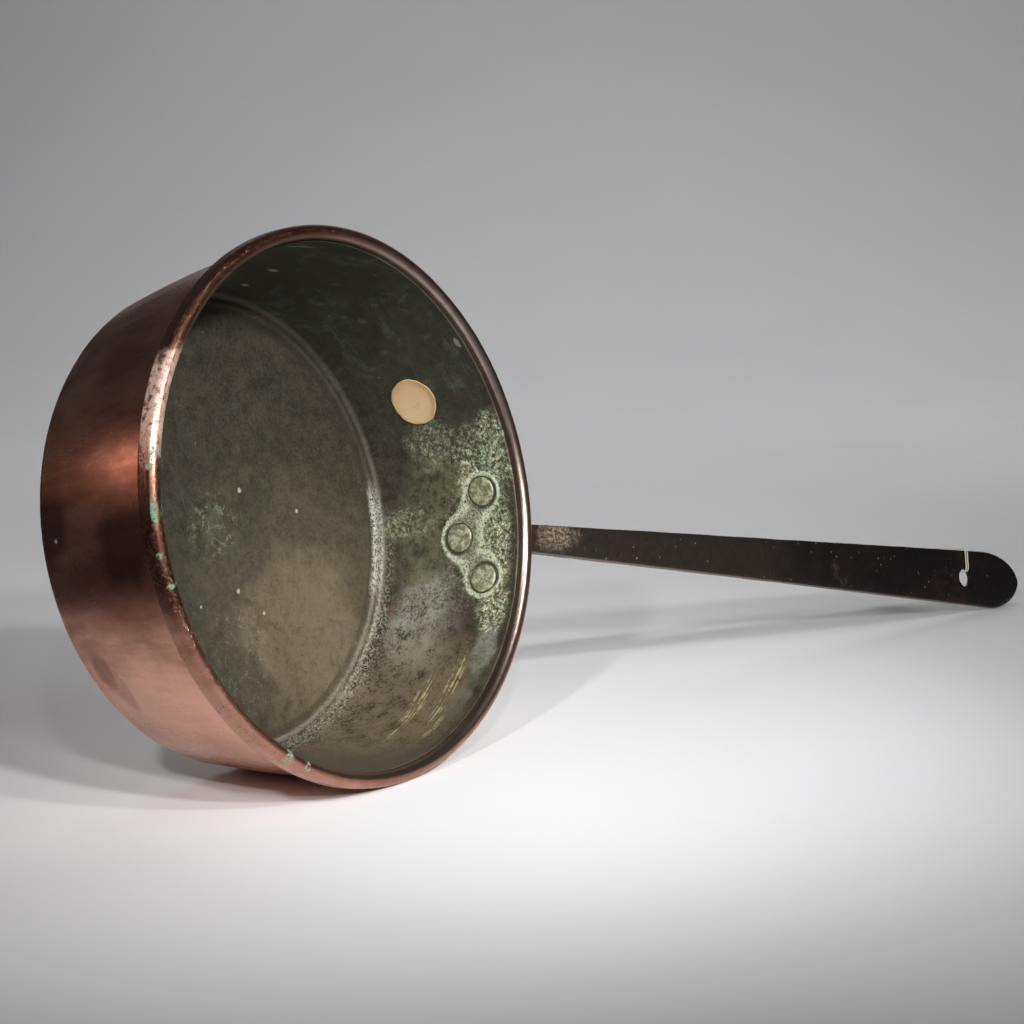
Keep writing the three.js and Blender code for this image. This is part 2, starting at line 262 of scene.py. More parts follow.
def turned(profile, angles):
    """The points of a profile of [radius, height] rows, turned about +Z to each angle."""
    r, z = np.asarray(profile, float).T
    turn = np.stack([np.cos(angles), np.sin(angles)], axis=1)
    flat = turn[:, None, :] * r[None, :, None]
    up = np.broadcast_to(z[None, :, None], (len(angles), len(z), 1))
    return np.concatenate([flat, up], axis=2)


def bent_round(r, angle, z):
    """Points at radii, angles and heights about the pan's axis."""
    return np.stack([r * np.cos(angle), r * np.sin(angle), z], axis=2)


def capped(tube):
    """A tube of points[column, row], facing outwards, each end drawn in to its middle."""
    middles = tube.mean(axis=0, keepdims=True)
    caps = [np.broadcast_to(middles[:, [k]], (len(tube), 1, 3)) for k in (0, -1)]
    return np.concatenate([caps[0], tube, caps[1]], axis=1)[::-1]


def two_faces(count, first, second):
    """Shares from a middle out to an edge and back, and the depth of the face each is on."""
    steps = np.linspace(0, 1, count)
    depth = np.concatenate([np.full(count, first), np.full(count, second)])
    return np.concatenate([steps, steps[::-1]]), depth


def arc(r, z, radius, start, end, steps):
    """Points of a profile along an arc, ends included, its angles in degrees."""
    a = np.radians(np.linspace(start, end, steps + 1))
    return np.stack([r + radius * np.cos(a), z + radius * np.sin(a)], axis=1)


def wall_line(radius_at, start, end, steps, offset=0.0):
    """Points of a profile up or down the wall, moved in or out by an offset."""
    z = np.linspace(start, end, steps + 1)
    return np.stack([radius_at(z) + offset, z], axis=1)


def stretches(start, *legs):
    """Numbers from a start to the end of each leg, each leg given as [end, step]."""
    values = [start]
    for end, step in legs:
        count = max(round(abs(end - values[-1]) / step), 1)
        values.extend(np.linspace(values[-1], end, count + 1)[1:])
    return np.array(values)


def round_angles(count):
    return np.linspace(0, 2 * math.pi, count, endpoint=False)


def read_points(mesh, what="co"):
    """A mesh's vertices, or with any other word their normals, as rows of x, y, z."""
    source = mesh.vertices if what == "co" else mesh.vertex_normals
    values = np.zeros(len(mesh.vertices) * 3, np.float32)
    source.foreach_get("co" if what == "co" else "vector", values)
    return values.reshape(-1, 3).astype(float)


def push(mesh, height):
    """Moves each vertex along its normal by height(points, normals), all in millimetres."""
    points, normals = read_points(mesh) / MM, read_points(mesh, "normal")
    points += normals * height(points, normals)[:, None]
    mesh.vertices.foreach_set("co", (points * MM).astype(np.float32).ravel())
    mesh.update()


def modified(mesh, *modifiers):
    """The mesh with modifiers applied, each given as [type, settings]."""
    holder = linked("holder", mesh)
    for kind, settings in modifiers:
        modifier = holder.modifiers.new(kind, kind)
        for key, value in settings.items():
            setattr(modifier, key, value)
    seen = holder.evaluated_get(bpy.context.evaluated_depsgraph_get())
    result = bpy.data.meshes.new_from_object(seen)
    bpy.data.objects.remove(holder)
    result.shade_smooth()
    return result


def without(mesh, *cutters):
    """The mesh with other closed meshes cut away."""
    for cutter in cutters:
        tool = linked("cutter", cutter)
        cut = {"operation": "DIFFERENCE", "solver": "EXACT", "object": tool}
        mesh = modified(mesh, ("BOOLEAN", cut))
        bpy.data.objects.remove(tool)
    return mesh


def joined(*meshes):
    """One mesh that holds the others, none of them changed."""
    merged = bmesh.new()
    for mesh in meshes:
        merged.from_mesh(mesh)
    result = bpy.data.meshes.new("joined")
    merged.to_mesh(result)
    merged.free()
    return result


def turned_at(name, profile, place):
    """A profile turned about the +Z of a placing matrix in millimetres."""
    mesh = ring_mesh(name, turned(profile, round_angles(64)))
    mesh.transform(Matrix.Scale(MM, 4) @ place @ Matrix.Scale(1 / MM, 4))
    return mesh


def rod(radius, length, place, flare=0.0):
    """A round cutter along the +Z of a placing matrix, widening downwards by a flare."""
    foot, half = radius + flare, length / 2
    profile = [[0, -half], [foot, -half], [foot, FLARE_BOTTOM], [radius, FLARE_TOP]]
    profile += [[radius, half], [0, half]]
    return turned_at("rod", profile, place)


def lumps(points, size, seed=0):
    """Smooth noise from about -1 to 1, with lumps of about a size."""
    shift = Vector((5.1, 3.7, 1.9)) * seed
    return np.array([noise.noise(Vector(p) + shift) for p in points / size])


def rise(value, low, high):
    """0 below low and 1 above high, with a smooth step between."""
    t = np.clip((value - low) / (high - low), 0, 1)
    return t * t * (3 - 2 * t)


def bell(distance, width):
    """1 at no distance, and nearly 0 at two widths."""
    return np.exp(-((distance / width) ** 2))


def on_wall(angle, z):
    """A matrix, in millimetres, whose +Z is the outward normal of the wall and +Y runs up it."""
    a = math.radians(angle)
    lean = math.atan((wall_r(z + 1) - wall_r(z - 1)) / 2)
    round_wall = Vector((-math.sin(a), math.cos(a), 0))
    out = Vector((math.cos(a) * math.cos(lean), math.sin(a) * math.cos(lean), -math.sin(lean)))
    place = Matrix((round_wall, out.cross(round_wall), out)).transposed().to_4x4()
    place.translation = Vector((math.cos(a), math.sin(a), 0)) * wall_r(z) + Vector((0, 0, z))
    return place


# ---- String: its route, and its yarn ---------------------------------------------------------

def by_hole(along, across, up):
    """A point beside the hanging hole: along the bar, across it, and above its middle."""
    z = bar_z(HOLE_X) + bar_slope(HOLE_X) * along + up
    return Vector((-(HOLE_X + along), -across, z)) * MM


# Each row is [along, across, up] in millimetres; by_hole turns it into metres.
STRING_ROUTE = [
    [-STRING_APART, 3.1, -0.6],
    [-STRING_APART, 3.2, 1.2],
    [-STRING_APART, 3.7, 2.4],
    [-STRING_APART, 5, 2.9],
    [-STRING_APART, 9, 2.9],
    [-STRING_APART, 13.4, 2.8],
    [-STRING_APART, 14.9, 2.2],
    [-STRING_APART, 15.5, 0.6],
    [-STRING_APART, 15.4, -3],
    [-0.7, 15, -10],
    [-0.6, 14.7, -20],
    [-0.3, 14.7, -28],
    [0, 14.75, -TAG_DROP + 1.4],
    [0, 15.2, -TAG_DROP + 0.4],
    [0, TAG_Y, -TAG_DROP],
    [0, 17.2, -TAG_DROP + 0.4],
    [0, 17.65, -TAG_DROP + 1.4],
    [0.3, 17.7, -28],
    [0.6, 17.6, -20],
    [0.7, 16.8, -10],
    [STRING_APART, 15.6, -3],
    [STRING_APART, 15.5, 0.6],
    [STRING_APART, 14.9, 2.2],
    [STRING_APART, 13.4, 2.8],
    [STRING_APART, 9, 2.9],
    [STRING_APART, 5, 2.9],
    [STRING_APART, 3.7, 2.4],
    [STRING_APART, 3.2, 1.2],
    [STRING_APART, 3.1, -0.6],
]


def smooth_route(knots, step):
    """Points an even step apart on the centripetal Catmull-Rom curve through the knots."""
    knots = [2 * knots[0] - knots[1], *knots, 2 * knots[-1] - knots[-2]]
    line = []
    for a, b, c, d in zip(knots, knots[1:], knots[2:], knots[3:]):
        ab, bc, cd = [(q - p).length ** 0.5 for p, q in ((a, b), (b, c), (c, d))]
        leave = bc * ((b - a) / ab - (c - a) / (ab + bc) + (c - b) / bc)
        arrive = bc * ((c - b) / bc - (d - b) / (bc + cd) + (d - c) / cd)
        for t in (k / 12 for k in range(12)):
            bend = 3 * (c - b) - 2 * leave - arrive
            twist = 2 * (b - c) + leave + arrive
            line.append(b + t * leave + t * t * bend + t * t * t * twist)
    line = np.array([*line, knots[-2]])
    along = np.concatenate([[0], np.cumsum(np.linalg.norm(np.diff(line, axis=0), axis=1))])
    at = np.linspace(0, along[-1], round(along[-1] / step) + 1)
    return np.stack([np.interp(at, along, line[:, k]) for k in range(3)], axis=1)


def make_string():
    """A three-ply yarn: a tube whose three lobes turn as it goes along."""
    step = 0.25 * MM
    line = smooth_route([by_hole(*row) for row in STRING_ROUTE], step)
    ahead = np.gradient(line, axis=0)
    ahead /= np.linalg.norm(ahead, axis=1)[:, None]
    side = np.cross(ahead, [0.83, 0.1, 0.55])
    side /= np.linalg.norm(side, axis=1)[:, None]
    up = np.cross(ahead, side)
    around = round_angles(24)
    turns_per_m = 1 / (2.6 * MM)
    turn = 2 * math.pi * turns_per_m * step * np.arange(len(line))
    lobes = np.abs(np.cos(1.5 * (around[:, None] - turn[None, :])))
    radius = STRING_D / 2 * MM * (0.74 + 0.26 * lobes)
    circle = np.cos(around)[:, None, None] * side + np.sin(around)[:, None, None] * up
    tube = line[None] + circle * radius[:, :, None]
    mesh = ring_mesh("tag_string_yarn", capped(tube / MM))
    return new_piece("tag_string_yarn", mesh, "tag_string"), line


string, string_line = make_string()


# ---- Stage -----------------------------------------------------------------------------------

FLOOR_DOWN = Vector((-0.2399, 0.9551, -0.1736)).normalized()
VIEW_AWAY = camera.matrix_world.to_quaternion() @ Vector((0, 0, -1))
FLOOR_AWAY = (VIEW_AWAY - VIEW_AWAY.project(FLOOR_DOWN)).normalized()
FLOOR_RIGHT = FLOOR_AWAY.cross(-FLOOR_DOWN).normalized()
POOL = Vector((-70.4, 103.7, 116.2)) * MM


def on_floor(right, away, up):
    """A point in metres from the middle of the pool of light, in the leaning floor's directions."""
    return POOL + FLOOR_RIGHT * right + FLOOR_AWAY * away - FLOOR_DOWN * up


# In metres
FLOOR_NEAR = -2.0
FLOOR_FAR = 1.3
SWEEP_BEND = 0.9
SWEEP_TOP = 2.2
FLOOR_HALF_WIDTH = 2.6
EDGE_OPENING = 0.2336
EDGE_ORIGIN = -0.843
EDGE_OUT = 0.15
EDGE_STRAIGHT_BEFORE = -0.5


def floor_edge(away):
    """Where the sheet ends on the left: a line that opens out, just outside the picture."""
    ahead = np.maximum(away, EDGE_STRAIGHT_BEFORE) - EDGE_ORIGIN
    return -(EDGE_OPENING * ahead + EDGE_OUT)


def make_sheet(name, left, right):
    """A plain sheet that lies under the pan and sweeps up far behind it, between two edges."""
    bends = np.radians(np.linspace(0, 90, 25)[1:])
    profile = [(away, 0) for away in np.linspace(FLOOR_NEAR, FLOOR_FAR, 12)]
    for swing in bends:
        up = SWEEP_BEND * (1 - math.cos(swing))
        profile.append((FLOOR_FAR + SWEEP_BEND * math.sin(swing), up))
    profile.append((FLOOR_FAR + SWEEP_BEND, SWEEP_TOP))
    shares = np.linspace(0, 1, 9)
    points = [
        on_floor(left(away) + (right(away) - left(away)) * share, away, up)
        for share in shares
        for away, up in profile
    ]
    rows = len(profile)
    faces = [
        (i * rows + j, i * rows + j + 1, (i + 1) * rows + j + 1, (i + 1) * rows + j)
        for i in range(len(shares) - 1)
        for j in range(rows - 1)
    ]
    mesh = bpy.data.meshes.new(name)
    mesh.from_pydata(points, [], faces)
    mesh.shade_smooth()
    mesh.update()
    if mesh.polygons[0].normal.dot(-FLOOR_DOWN) < 0:
        mesh.flip_normals()
    sheet = linked(name, mesh)
    return sheet


floor = make_sheet("floor", floor_edge, lambda away: FLOOR_HALF_WIDTH)
floor_left = make_sheet("floor_left", lambda away: -FLOOR_HALF_WIDTH, floor_edge)
floor_left.visible_glossy = False


def place_lamp(name, data, place, target):
    """A lamp at a place, pointing at a target, its width level with the floor."""
    lamp = linked(name, data)
    aim = (place - target).normalized()
    level = FLOOR_AWAY if abs(aim.dot(FLOOR_RIGHT)) > 0.9 else FLOOR_RIGHT
    across = (level - level.project(aim)).normalized()
    lamp.matrix_world = Matrix((across, aim.cross(across), aim)).transposed().to_4x4()
    lamp.location = place
    lamp.visible_camera = False
    return lamp


def area_light(name, place, target, size, power, spread=180, colour=(1, 1, 1)):
    data = bpy.data.lights.new(name, "AREA")
    data.shape = "RECTANGLE"
    data.size, data.size_y = size
    data.energy = power
    data.color = colour
    data.spread = math.radians(spread)
    return place_lamp(name, data, place, target)


def spot_light(name, place, target, cone, power, radius):
    data = bpy.data.lights.new(name, "SPOT")
    data.energy = power
    data.spot_size = math.radians(cone)
    data.spot_blend = 1
    data.shadow_soft_size = radius
    return place_lamp(name, data, place, target)


def towards(azimuth, elevation, distance):
    """A place over the floor: azimuth in degrees, to the right of the camera's side."""
    a, e = math.radians(azimuth), math.radians(elevation)
    flat = distance * math.cos(e)
    return on_floor(flat * math.sin(a), -flat * math.cos(a), distance * math.sin(e))


# Spot lights that make the pool: [azimuth, elevation, aim right, aim away, cone, power, radius]
SPOTS = [
    [-20, 37, 0.0, 0.12, 26, 22, 0.04],
    [16, 27, 0.02, 0.2, 25, 41, 0.05],
    [40, 38, -0.1, 0.16, 24, 32, 0.04],
    [28, 33, -0.3, 0.1, 27, 36, 0.04],
    [4, 35, -0.02, 0.04, 26, 13, 0.04],
]
SPOT_DISTANCE = 1.3

for number, (azimuth, elevation, right, away, cone, power, radius) in enumerate(SPOTS):
    place = towards(azimuth, elevation, SPOT_DISTANCE)
    target = on_floor(right, away, 0)
    spot_light(f"spot_{number}", place, target, cone, power, radius)

# Soft light that the shiny metal doesn't mirror
SOFT_LIGHTS = [
    area_light("soft_side", towards(60, 45, 2.0), on_floor(0, 0.1, 0), (1.6, 1.2), 6.2),
    area_light("soft_top", on_floor(0.1, 1.0, 1.5), on_floor(0.1, 1.1, 0), (1.6, 0.8), 4.2, 100),
    area_light("sweep", on_floor(0.1, 1.4, 1.9), on_floor(0.1, 2.2, 1.2), (1.6, 0.8), 3.4, 120),
]
for lamp in SOFT_LIGHTS:
    lamp.visible_glossy = False

# A dim warm card beside the pan, and a light behind the sheet for the pan's far side
area_light(
    "warm_card", on_floor(-0.75, -0.08, 0.285), on_floor(-0.1, 0.0, 0.1), (0.28, 0.095), 0.16,
    colour=(1, 0.62, 0.48),
)
area_light("back", on_floor(0.5, 1.6, -1.2), on_floor(-0.1, 0.1, 0), (1.0, 1.0), 14, 120)


def make_world():
    """Dark all round in what the pan reflects, and pale where the camera looks past the floor."""
    world = bpy.data.worlds.new("room")
    world.use_nodes = True
    nodes, links = world.node_tree.nodes, world.node_tree.links
    nodes.clear()
    path = nodes.new("ShaderNodeLightPath")
    dark = nodes.new("ShaderNodeBackground")
    pale = nodes.new("ShaderNodeBackground")
    mix = nodes.new("ShaderNodeMixShader")
    out = nodes.new("ShaderNodeOutputWorld")
    dark.inputs["Color"].default_value = (0.05, 0.05, 0.052, 1)
    pale.inputs["Color"].default_value = (0.3, 0.3, 0.305, 1)
    links.new(path.outputs["Is Camera Ray"], mix.inputs["Fac"])
    links.new(dark.outputs["Background"], mix.inputs[1])
    links.new(pale.outputs["Background"], mix.inputs[2])
    links.new(mix.outputs["Shader"], out.inputs["Surface"])
    bpy.context.scene.world = world


make_world()
bpy.context.scene.view_settings.view_transform = "Standard"


# ---- Materials -------------------------------------------------------------------------------

def hex_colour(text):
    """Linear red, green, blue and alpha of a colour written as six hex digits."""
    parts = [int(text[i : i + 2], 16) / 255 for i in (0, 2, 4)]
    linear = [c / 12.92 if c <= 0.04045 else ((c + 0.055) / 1.055) ** 2.4 for c in parts]
    return (*linear, 1)


class Finish:
    """A material being put together from nodes. Sizes and places are in millimetres."""

    def __init__(self, name):
        self.material = bpy.data.materials.new(name)
        self.material.use_nodes = True
        self.tree = self.material.node_tree
        self.tree.nodes.clear()
        here = self.add("ShaderNodeTexCoord").outputs["Object"]
        self.here = self.scaled((1 / MM, 1 / MM, 1 / MM), here)
        self.shader = self.add("ShaderNodeBsdfPrincipled")
        out = self.add("ShaderNodeOutputMaterial")
        self.tree.links.new(self.shader.outputs["BSDF"], out.inputs["Surface"])

    def add(self, kind, **settings):
        node = self.tree.nodes.new(kind)
        for key, value in settings.items():
            setattr(node, key, value)
        return node

    def feed(self, socket, value):
        """Links another node's output to a socket, or sets its number, vector or hex colour."""
        if isinstance(value, bpy.types.NodeSocket):
            self.tree.links.new(value, socket)
        else:
            socket.default_value = hex_colour(value) if isinstance(value, str) else value

    def set(self, **values):
        """Feeds the shader's sockets, named with underscores for spaces."""
        for key, value in values.items():
            self.feed(self.shader.inputs[key.replace("_", " ")], value)

    def maths(self, operation, *values, clamp=False):
        node = self.add("ShaderNodeMath", operation=operation, use_clamp=clamp)
        for socket, value in zip(node.inputs, values):
            self.feed(socket, value)
        return node.outputs[0]

    def times(self, value, factor):
        """A product, without a node for a factor of 1."""
        return value if factor == 1 else self.maths("MULTIPLY", value, factor)

    def line(self, value, slope, start):
        """value * slope + start"""
        return self.maths("MULTIPLY_ADD", value, slope, start)

    def opposite(self, mask):
        return self.maths("SUBTRACT", 1, mask)

    def vector(self, operation, *values, out=0):
        node = self.add("ShaderNodeVectorMath", operation=operation)
        for socket, value in zip(node.inputs, values):
            self.feed(socket, value)
        return node.outputs[out]

    def scaled(self, factors, at=None):
        return self.vector("MULTIPLY", at or self.here, factors)

    def parts(self):
        """x, y, z here, in millimetres."""
        node = self.add("ShaderNodeSeparateXYZ")
        self.feed(node.inputs[0], self.here)
        return node.outputs

    def radius(self):
        """Distance from the pan's axis."""
        return self.vector("LENGTH", self.scaled((1, 1, 0)), out="Value")

    def noise(self, size, detail=3, rough=0.55, at=None, seed=0, warp=0):
        node = self.add("ShaderNodeTexNoise", noise_dimensions="4D")
        self.feed(node.inputs["Vector"], at or self.here)
        self.feed(node.inputs["W"], seed * 3.7)
        self.feed(node.inputs["Scale"], 1 / size)
        self.feed(node.inputs["Detail"], detail)
        self.feed(node.inputs["Roughness"], rough)
        self.feed(node.inputs["Distortion"], warp)
        return node.outputs["Fac"]

    def cells(self, size, seed):
        """Distance from the middle of the nearest random cell, in cell sizes."""
        node = self.add("ShaderNodeTexVoronoi", voronoi_dimensions="4D")
        self.feed(node.inputs["Vector"], self.here)
        self.feed(node.inputs["W"], seed * 3.7)
        self.feed(node.inputs["Scale"], 1 / size)
        return node.outputs["Distance"]

    def rise(self, value, low, high):
        """0 below low and 1 above high, smooth between; low above high turns it round."""
        node = self.add("ShaderNodeMapRange", interpolation_type="SMOOTHSTEP")
        turned_round = low > high
        self.feed(node.inputs["Value"], value)
        self.feed(node.inputs["From Min"], min(low, high))
        self.feed(node.inputs["From Max"], max(low, high))
        self.feed(node.inputs["To Min"], float(turned_round))
        self.feed(node.inputs["To Max"], float(not turned_round))
        return node.outputs["Result"]

    def spots(self, size, low, high, *look, **place):
        """Noise of a size drawn out between two of its levels: 0 below low and 1 above high."""
        return self.rise(self.noise(size, *look, **place), low, high)

    def unroll(self, middle):
        """Lays the wall flat, as millimetres round it from a middle angle, 0 or 180, and height."""
        facing = 1 if middle == 0 else -1
        x, y, z = self.parts()
        turned_to = [self.maths("MULTIPLY", side, facing) for side in (y, x)]
        turn = self.maths("ARCTAN2", *turned_to)
        flat = self.add("ShaderNodeCombineXYZ")
        self.feed(flat.inputs[0], self.times(turn, WALL_TOP_R))
        self.feed(flat.inputs[1], z)
        self.middle, self.turn, self.flat = middle, turn, flat.outputs[0]

    def wall_patch(self, angle, height, half_angle, half_height, **edge):
        """A patch of the unrolled wall, its width given as an angle round the pan in degrees."""
        middle = (math.radians(angle - self.middle) * WALL_TOP_R, height, 0)
        half = (math.radians(half_angle) * WALL_TOP_R, half_height, 1)
        return self.patch(middle, half, at=self.flat, **edge)

    def streaks(self, lengthways, across, share, seed, at=None):
        """Scratches along x, or round the wall: stretched noise, of which a share is kept."""
        at = self.scaled((1 / lengthways, 1 / across, 1), at or self.flat)
        lines = self.noise(1, 3, 0.6, at=at, seed=seed)
        return self.rise(lines, 0.66 - share * 0.3, 0.74 - share * 0.3)

    def rotated(self, degrees):
        """Here, turned about +Z."""
        node = self.add("ShaderNodeVectorRotate", rotation_type="Z_AXIS")
        self.feed(node.inputs["Vector"], self.here)
        self.feed(node.inputs["Angle"], math.radians(degrees))
        return node.outputs[0]

    def dots(self, size, radius, seed):
        """Scattered dots, one to a cell of a size, with a radius given in cells."""
        return self.rise(self.cells(size, seed), radius, radius * 0.7)

    def band(self, value, middle, half):
        """1 on a line, fading to 0 at half a width either side."""
        off = self.maths("ABSOLUTE", self.maths("SUBTRACT", value, middle))
        return self.rise(off, half, half * 0.3)

    def patch(self, middle, half, ragged=0.0, size=8, seed=0, at=None):
        """1 in the middle of an oval place and 0 outside it, with an edge broken up by noise."""
        away = self.vector("SUBTRACT", at or self.here, tuple(middle))
        oval = self.scaled(tuple(1 / h for h in half), away)
        distance = self.vector("LENGTH", oval, out="Value")
        if ragged:
            wander = self.maths("SUBTRACT", self.noise(size, 5, 0.6, seed=seed), 0.5)
            distance = self.line(wander, ragged, distance)
        return self.rise(distance, 1.15, 0.55)

    def all_of(self, *masks):
        result = masks[0]
        for mask in masks[1:]:
            result = self.times(result, mask)
        return result

    def any_of(self, *masks):
        result = masks[0]
        for mask in masks[1:]:
            result = self.maths("MAXIMUM", result, mask)
        return result

    def blend(self, share, a, b):
        """Colour a where share is 0 and b where it is 1."""
        node = self.add("ShaderNodeMixRGB")
        for socket, value in zip(node.inputs, (share, a, b)):
            self.feed(socket, value)
        return node.outputs[0]

    def layered(self, base, *layers):
        """A colour with others laid over it, each given as [mask, share of it, colour]."""
        for mask, share, colour in layers:
            base = self.blend(self.times(mask, share), base, colour)
        return base

    def levels(self, base, *layers):
        """A number with others laid over it, each given as [mask, number]."""
        for mask, number in layers:
            node = self.add("ShaderNodeMix", data_type="FLOAT")
            for socket, value in zip(node.inputs, (mask, None, base, number)):
                if value is not None:
                    self.feed(socket, value)
            base = node.outputs[0]
        return base

    def bump(self, height, depth, strength):
        """Feeds the shader a relief: a height from 0 to 1, times a depth in millimetres."""
        node = self.add("ShaderNodeBump")
        self.feed(node.inputs["Strength"], strength)
        self.feed(node.inputs["Distance"], depth * MM)
        self.feed(node.inputs["Height"], height)
        self.feed(self.shader.inputs["Normal"], node.outputs["Normal"])


def paint(piece, material):
    piece.data.materials.clear()
    piece.data.materials.append(material)


def wall_point(angle, z, inside=False):
    """A point of the wall's outer or inner face, in millimetres."""
    r = wall_inner_r(z) if inside else wall_r(z)
    a = math.radians(angle)
    return Vector((r * math.cos(a), r * math.sin(a), z))


def floor_finish():
    """Plain pale paper, seen from above only: from under it there is nothing."""
    finish = Finish("floor_paper")
    shade = finish.noise(180, 4, 0.6)
    finish.set(Base_Color=finish.blend(shade, "e4e4e6", "ececed"))
    finish.set(Roughness=0.62)
    finish.bump(finish.noise(1.2, 3, 0.7), 0.05, 0.25)
    tree = finish.tree
    side = finish.add("ShaderNodeNewGeometry")
    clear = finish.add("ShaderNodeBsdfTransparent")
    mix = finish.add("ShaderNodeMixShader")
    tree.links.new(side.outputs["Backfacing"], mix.inputs["Fac"])
    tree.links.new(finish.shader.outputs["BSDF"], mix.inputs[1])
    tree.links.new(clear.outputs["BSDF"], mix.inputs[2])
    out = next(n for n in tree.nodes if n.type == "OUTPUT_MATERIAL")
    tree.links.new(mix.outputs["Shader"], out.inputs["Surface"])
    return finish.material


floor_paper = floor_finish()
paint(floor, floor_paper)
paint(floor_left, floor_paper)


def rim_marks_and_painted_light(f, smears):
    """Masks of the rolled rim: all of it, then where it is worn and painted light as a highlight,
    where painted shade darkens it, and where it is pitted and tinned.
    """
    x, y, z = f.parts()
    rim = f.rise(z, LIP_Z - 1, LIP_Z + 1)
    pits = f.all_of(rim, f.spots(1.1, 0.52, 0.62, 5, 0.75, seed=5))
    # Painted highlight: the worn rim painted a pale pinkish white where the light's highlight
    # falls.
    worn_rim_highlight = f.all_of(
        f.wall_patch(-14, 76, 12, 14, ragged=0.9, size=6, seed=13), rim,
        f.line(f.spots(2.4, 0.38, 0.52, 5, 0.75, seed=17), 0.75, 0.25),
    )
    # Painted shade: the rim painted darker on its -Y side, and over a patch where its highlight is
    # dimmed.
    rim_painted_shade = f.any_of(
        f.wall_patch(14, 74, 16, 12, ragged=1.0, size=6, seed=18),
        f.times(f.rise(y, 10, -50), 0.7),
    )
    rim_painted_shade = f.all_of(rim_painted_shade, rim, f.opposite(worn_rim_highlight))
    inner_line = f.all_of(f.band(f.radius(), ROLL_MID_R + 0.5, 0.5), rim, f.rise(smears, 0.4, 0.5))
    lip_side = f.line(f.rise(x, 30, -50), 0.85, 0.15)
    tinned_lip = f.all_of(f.rise(f.radius(), ROLL_MID_R + 0.5, ROLL_MID_R - 0.4), rim, lip_side)
    rim_pits = f.all_of(pits, f.line(tinned_lip, -0.8, 1))
    return rim, worn_rim_highlight, rim_painted_shade, rim_pits, tinned_lip, inner_line


def verdigris(f):
    """Crumbly green spots, each at [angle, height] with [half its angle, half its height]."""
    crumbs = f.spots(1.3, 0.42, 0.58, 4, 0.7, seed=6)
    places = [
        (-12, 75, 0.9, 1), (-3.4, 75.4, 1.3, 1.2), (-1, 74, 1.4, 1.2), (8, 75.4, 3.2, 1.1),
        (16, 75, 0.7, 1), (22, 76, 0.6, 1), (67, 76, 1, 2.6), (72.5, 77, 1, 2),
        (10, 12, 0.7, 1), (88, 3, 2, 3),
    ]
    spots = (f.wall_patch(*place, ragged=0.9, size=2.5, seed=6) for place in places)
    return f.all_of(f.any_of(*spots), crumbs)


def copper_finish(tinned_heads=False):
    """Old polished copper: brown film in clouds, redder scuffs, dark specks and verdigris, with
    painted shade on the wall and painted light and shade on the rim.
    """
    f = Finish("tinned_copper" if tinned_heads else "worn_copper")
    f.unroll(0)
    clouds = f.noise(46, 5, 0.55, seed=1, warp=0.4)
    smears = f.noise(1, 4, 0.6, at=f.scaled((1 / 7, 1 / 26, 1), f.flat), seed=2)
    mottle = f.noise(2.6, 4, 0.65, seed=3)
    film = f.rise(f.line(smears, 0.5, clouds), 0.55, 0.9)
    clean = f.blend(mottle, "e0ab97", "d29c87")
    brown = f.blend(smears, "ab7a67", "8d6050")
    polished = f.wall_patch(66, 34, 34, 60, ragged=1.0, size=30, seed=12)
    scratch = f.all_of(f.streaks(22, 0.35, 0.2, 4), f.rise(clouds, 0.45, 0.6))
    speck = f.all_of(f.dots(11, 0.06, 4), f.rise(smears, 0.45, 0.6))
    stain = f.any_of(
        f.wall_patch(41, 13, 6, 6, ragged=0.3, size=9, seed=8),
        f.times(f.wall_patch(46, 17, 7, 5, ragged=0.4, size=7, seed=9), 0.6),
    )
    # Painted shade: two patches of the wall painted darker where it mirrors the dark room.
    painted_shade_patches = f.any_of(
        f.wall_patch(13, 54, 8, 20, ragged=1.1, size=18, seed=14),
        f.wall_patch(7, 8, 8, 14, ragged=1.1, size=14, seed=15),
    )
    red_cloud = f.wall_patch(23, 32, 9, 44, ragged=1.0, size=24, seed=16)
    rim, worn_rim_highlight, rim_painted_shade, rim_pits, tinned_lip, inner_line = rim_marks_and_painted_light(f, smears)
    green = verdigris(f)
    colour = f.layered(
        clean,
        (f.all_of(film, f.line(polished, -0.75, 1)), 1, brown),
        (scratch, 0.35, "e4bba9"),
        (speck, 1, "3a241c"),
        (red_cloud, 0.5, "84503e"),
        # Painted shade on the wall
        (painted_shade_patches, 0.65, "4a2e27"),
        (stain, 0.55, "5a3a30"),
        (rim, 0.45, "85604f"),
        # Painted shade on the rim
        (rim_painted_shade, 0.75, f.blend(mottle, "38241e", "5e4034")),
        # Worn rim painted pale as a highlight
        (worn_rim_highlight, 0.85, f.blend(smears, "dcb5a4", "f0d6ca")),
        (rim_pits, 0.45, "7e5142"),
        (tinned_lip, 0.8, f.blend(smears, "6c5b54", "b9aca5")),
        (inner_line, 0.7, "a4633f"),
        (green, 1, f.blend(mottle, "3d7a5a", "7fa893")),
    )
    rough = f.levels(
        f.line(smears, 0.18, 0.17),
        (film, 0.3),
        (rim, 0.3),
        (worn_rim_highlight, 0.36),
        (rim_pits, 0.5),
        (green, 0.85),
    )
    metal = f.levels(1.0, (worn_rim_highlight, 0.4), (green, 0.0))
    if tinned_heads:
        inside = f.rise(f.radius(), WALL_TOP_R + 0.5, WALL_TOP_R - 0.5)
        crust = f.spots(2.2, 0.42, 0.62, 4, 0.7, seed=11)
        tinned = f.blend(crust, "6b6a55", "b1b492")
        colour = f.layered(colour, (inside, 1, tinned))
        rough = f.levels(rough, (inside, 0.55))
        metal = f.levels(metal, (inside, 0.35))
    f.set(Base_Color=colour, Roughness=rough, Metallic=metal)
    grain = f.noise(0.9, 3, 0.6, seed=7)
    relief = f.line(rim_pits, -1.5, grain)
    f.bump(relief, 0.05, 0.5)
    return f.material


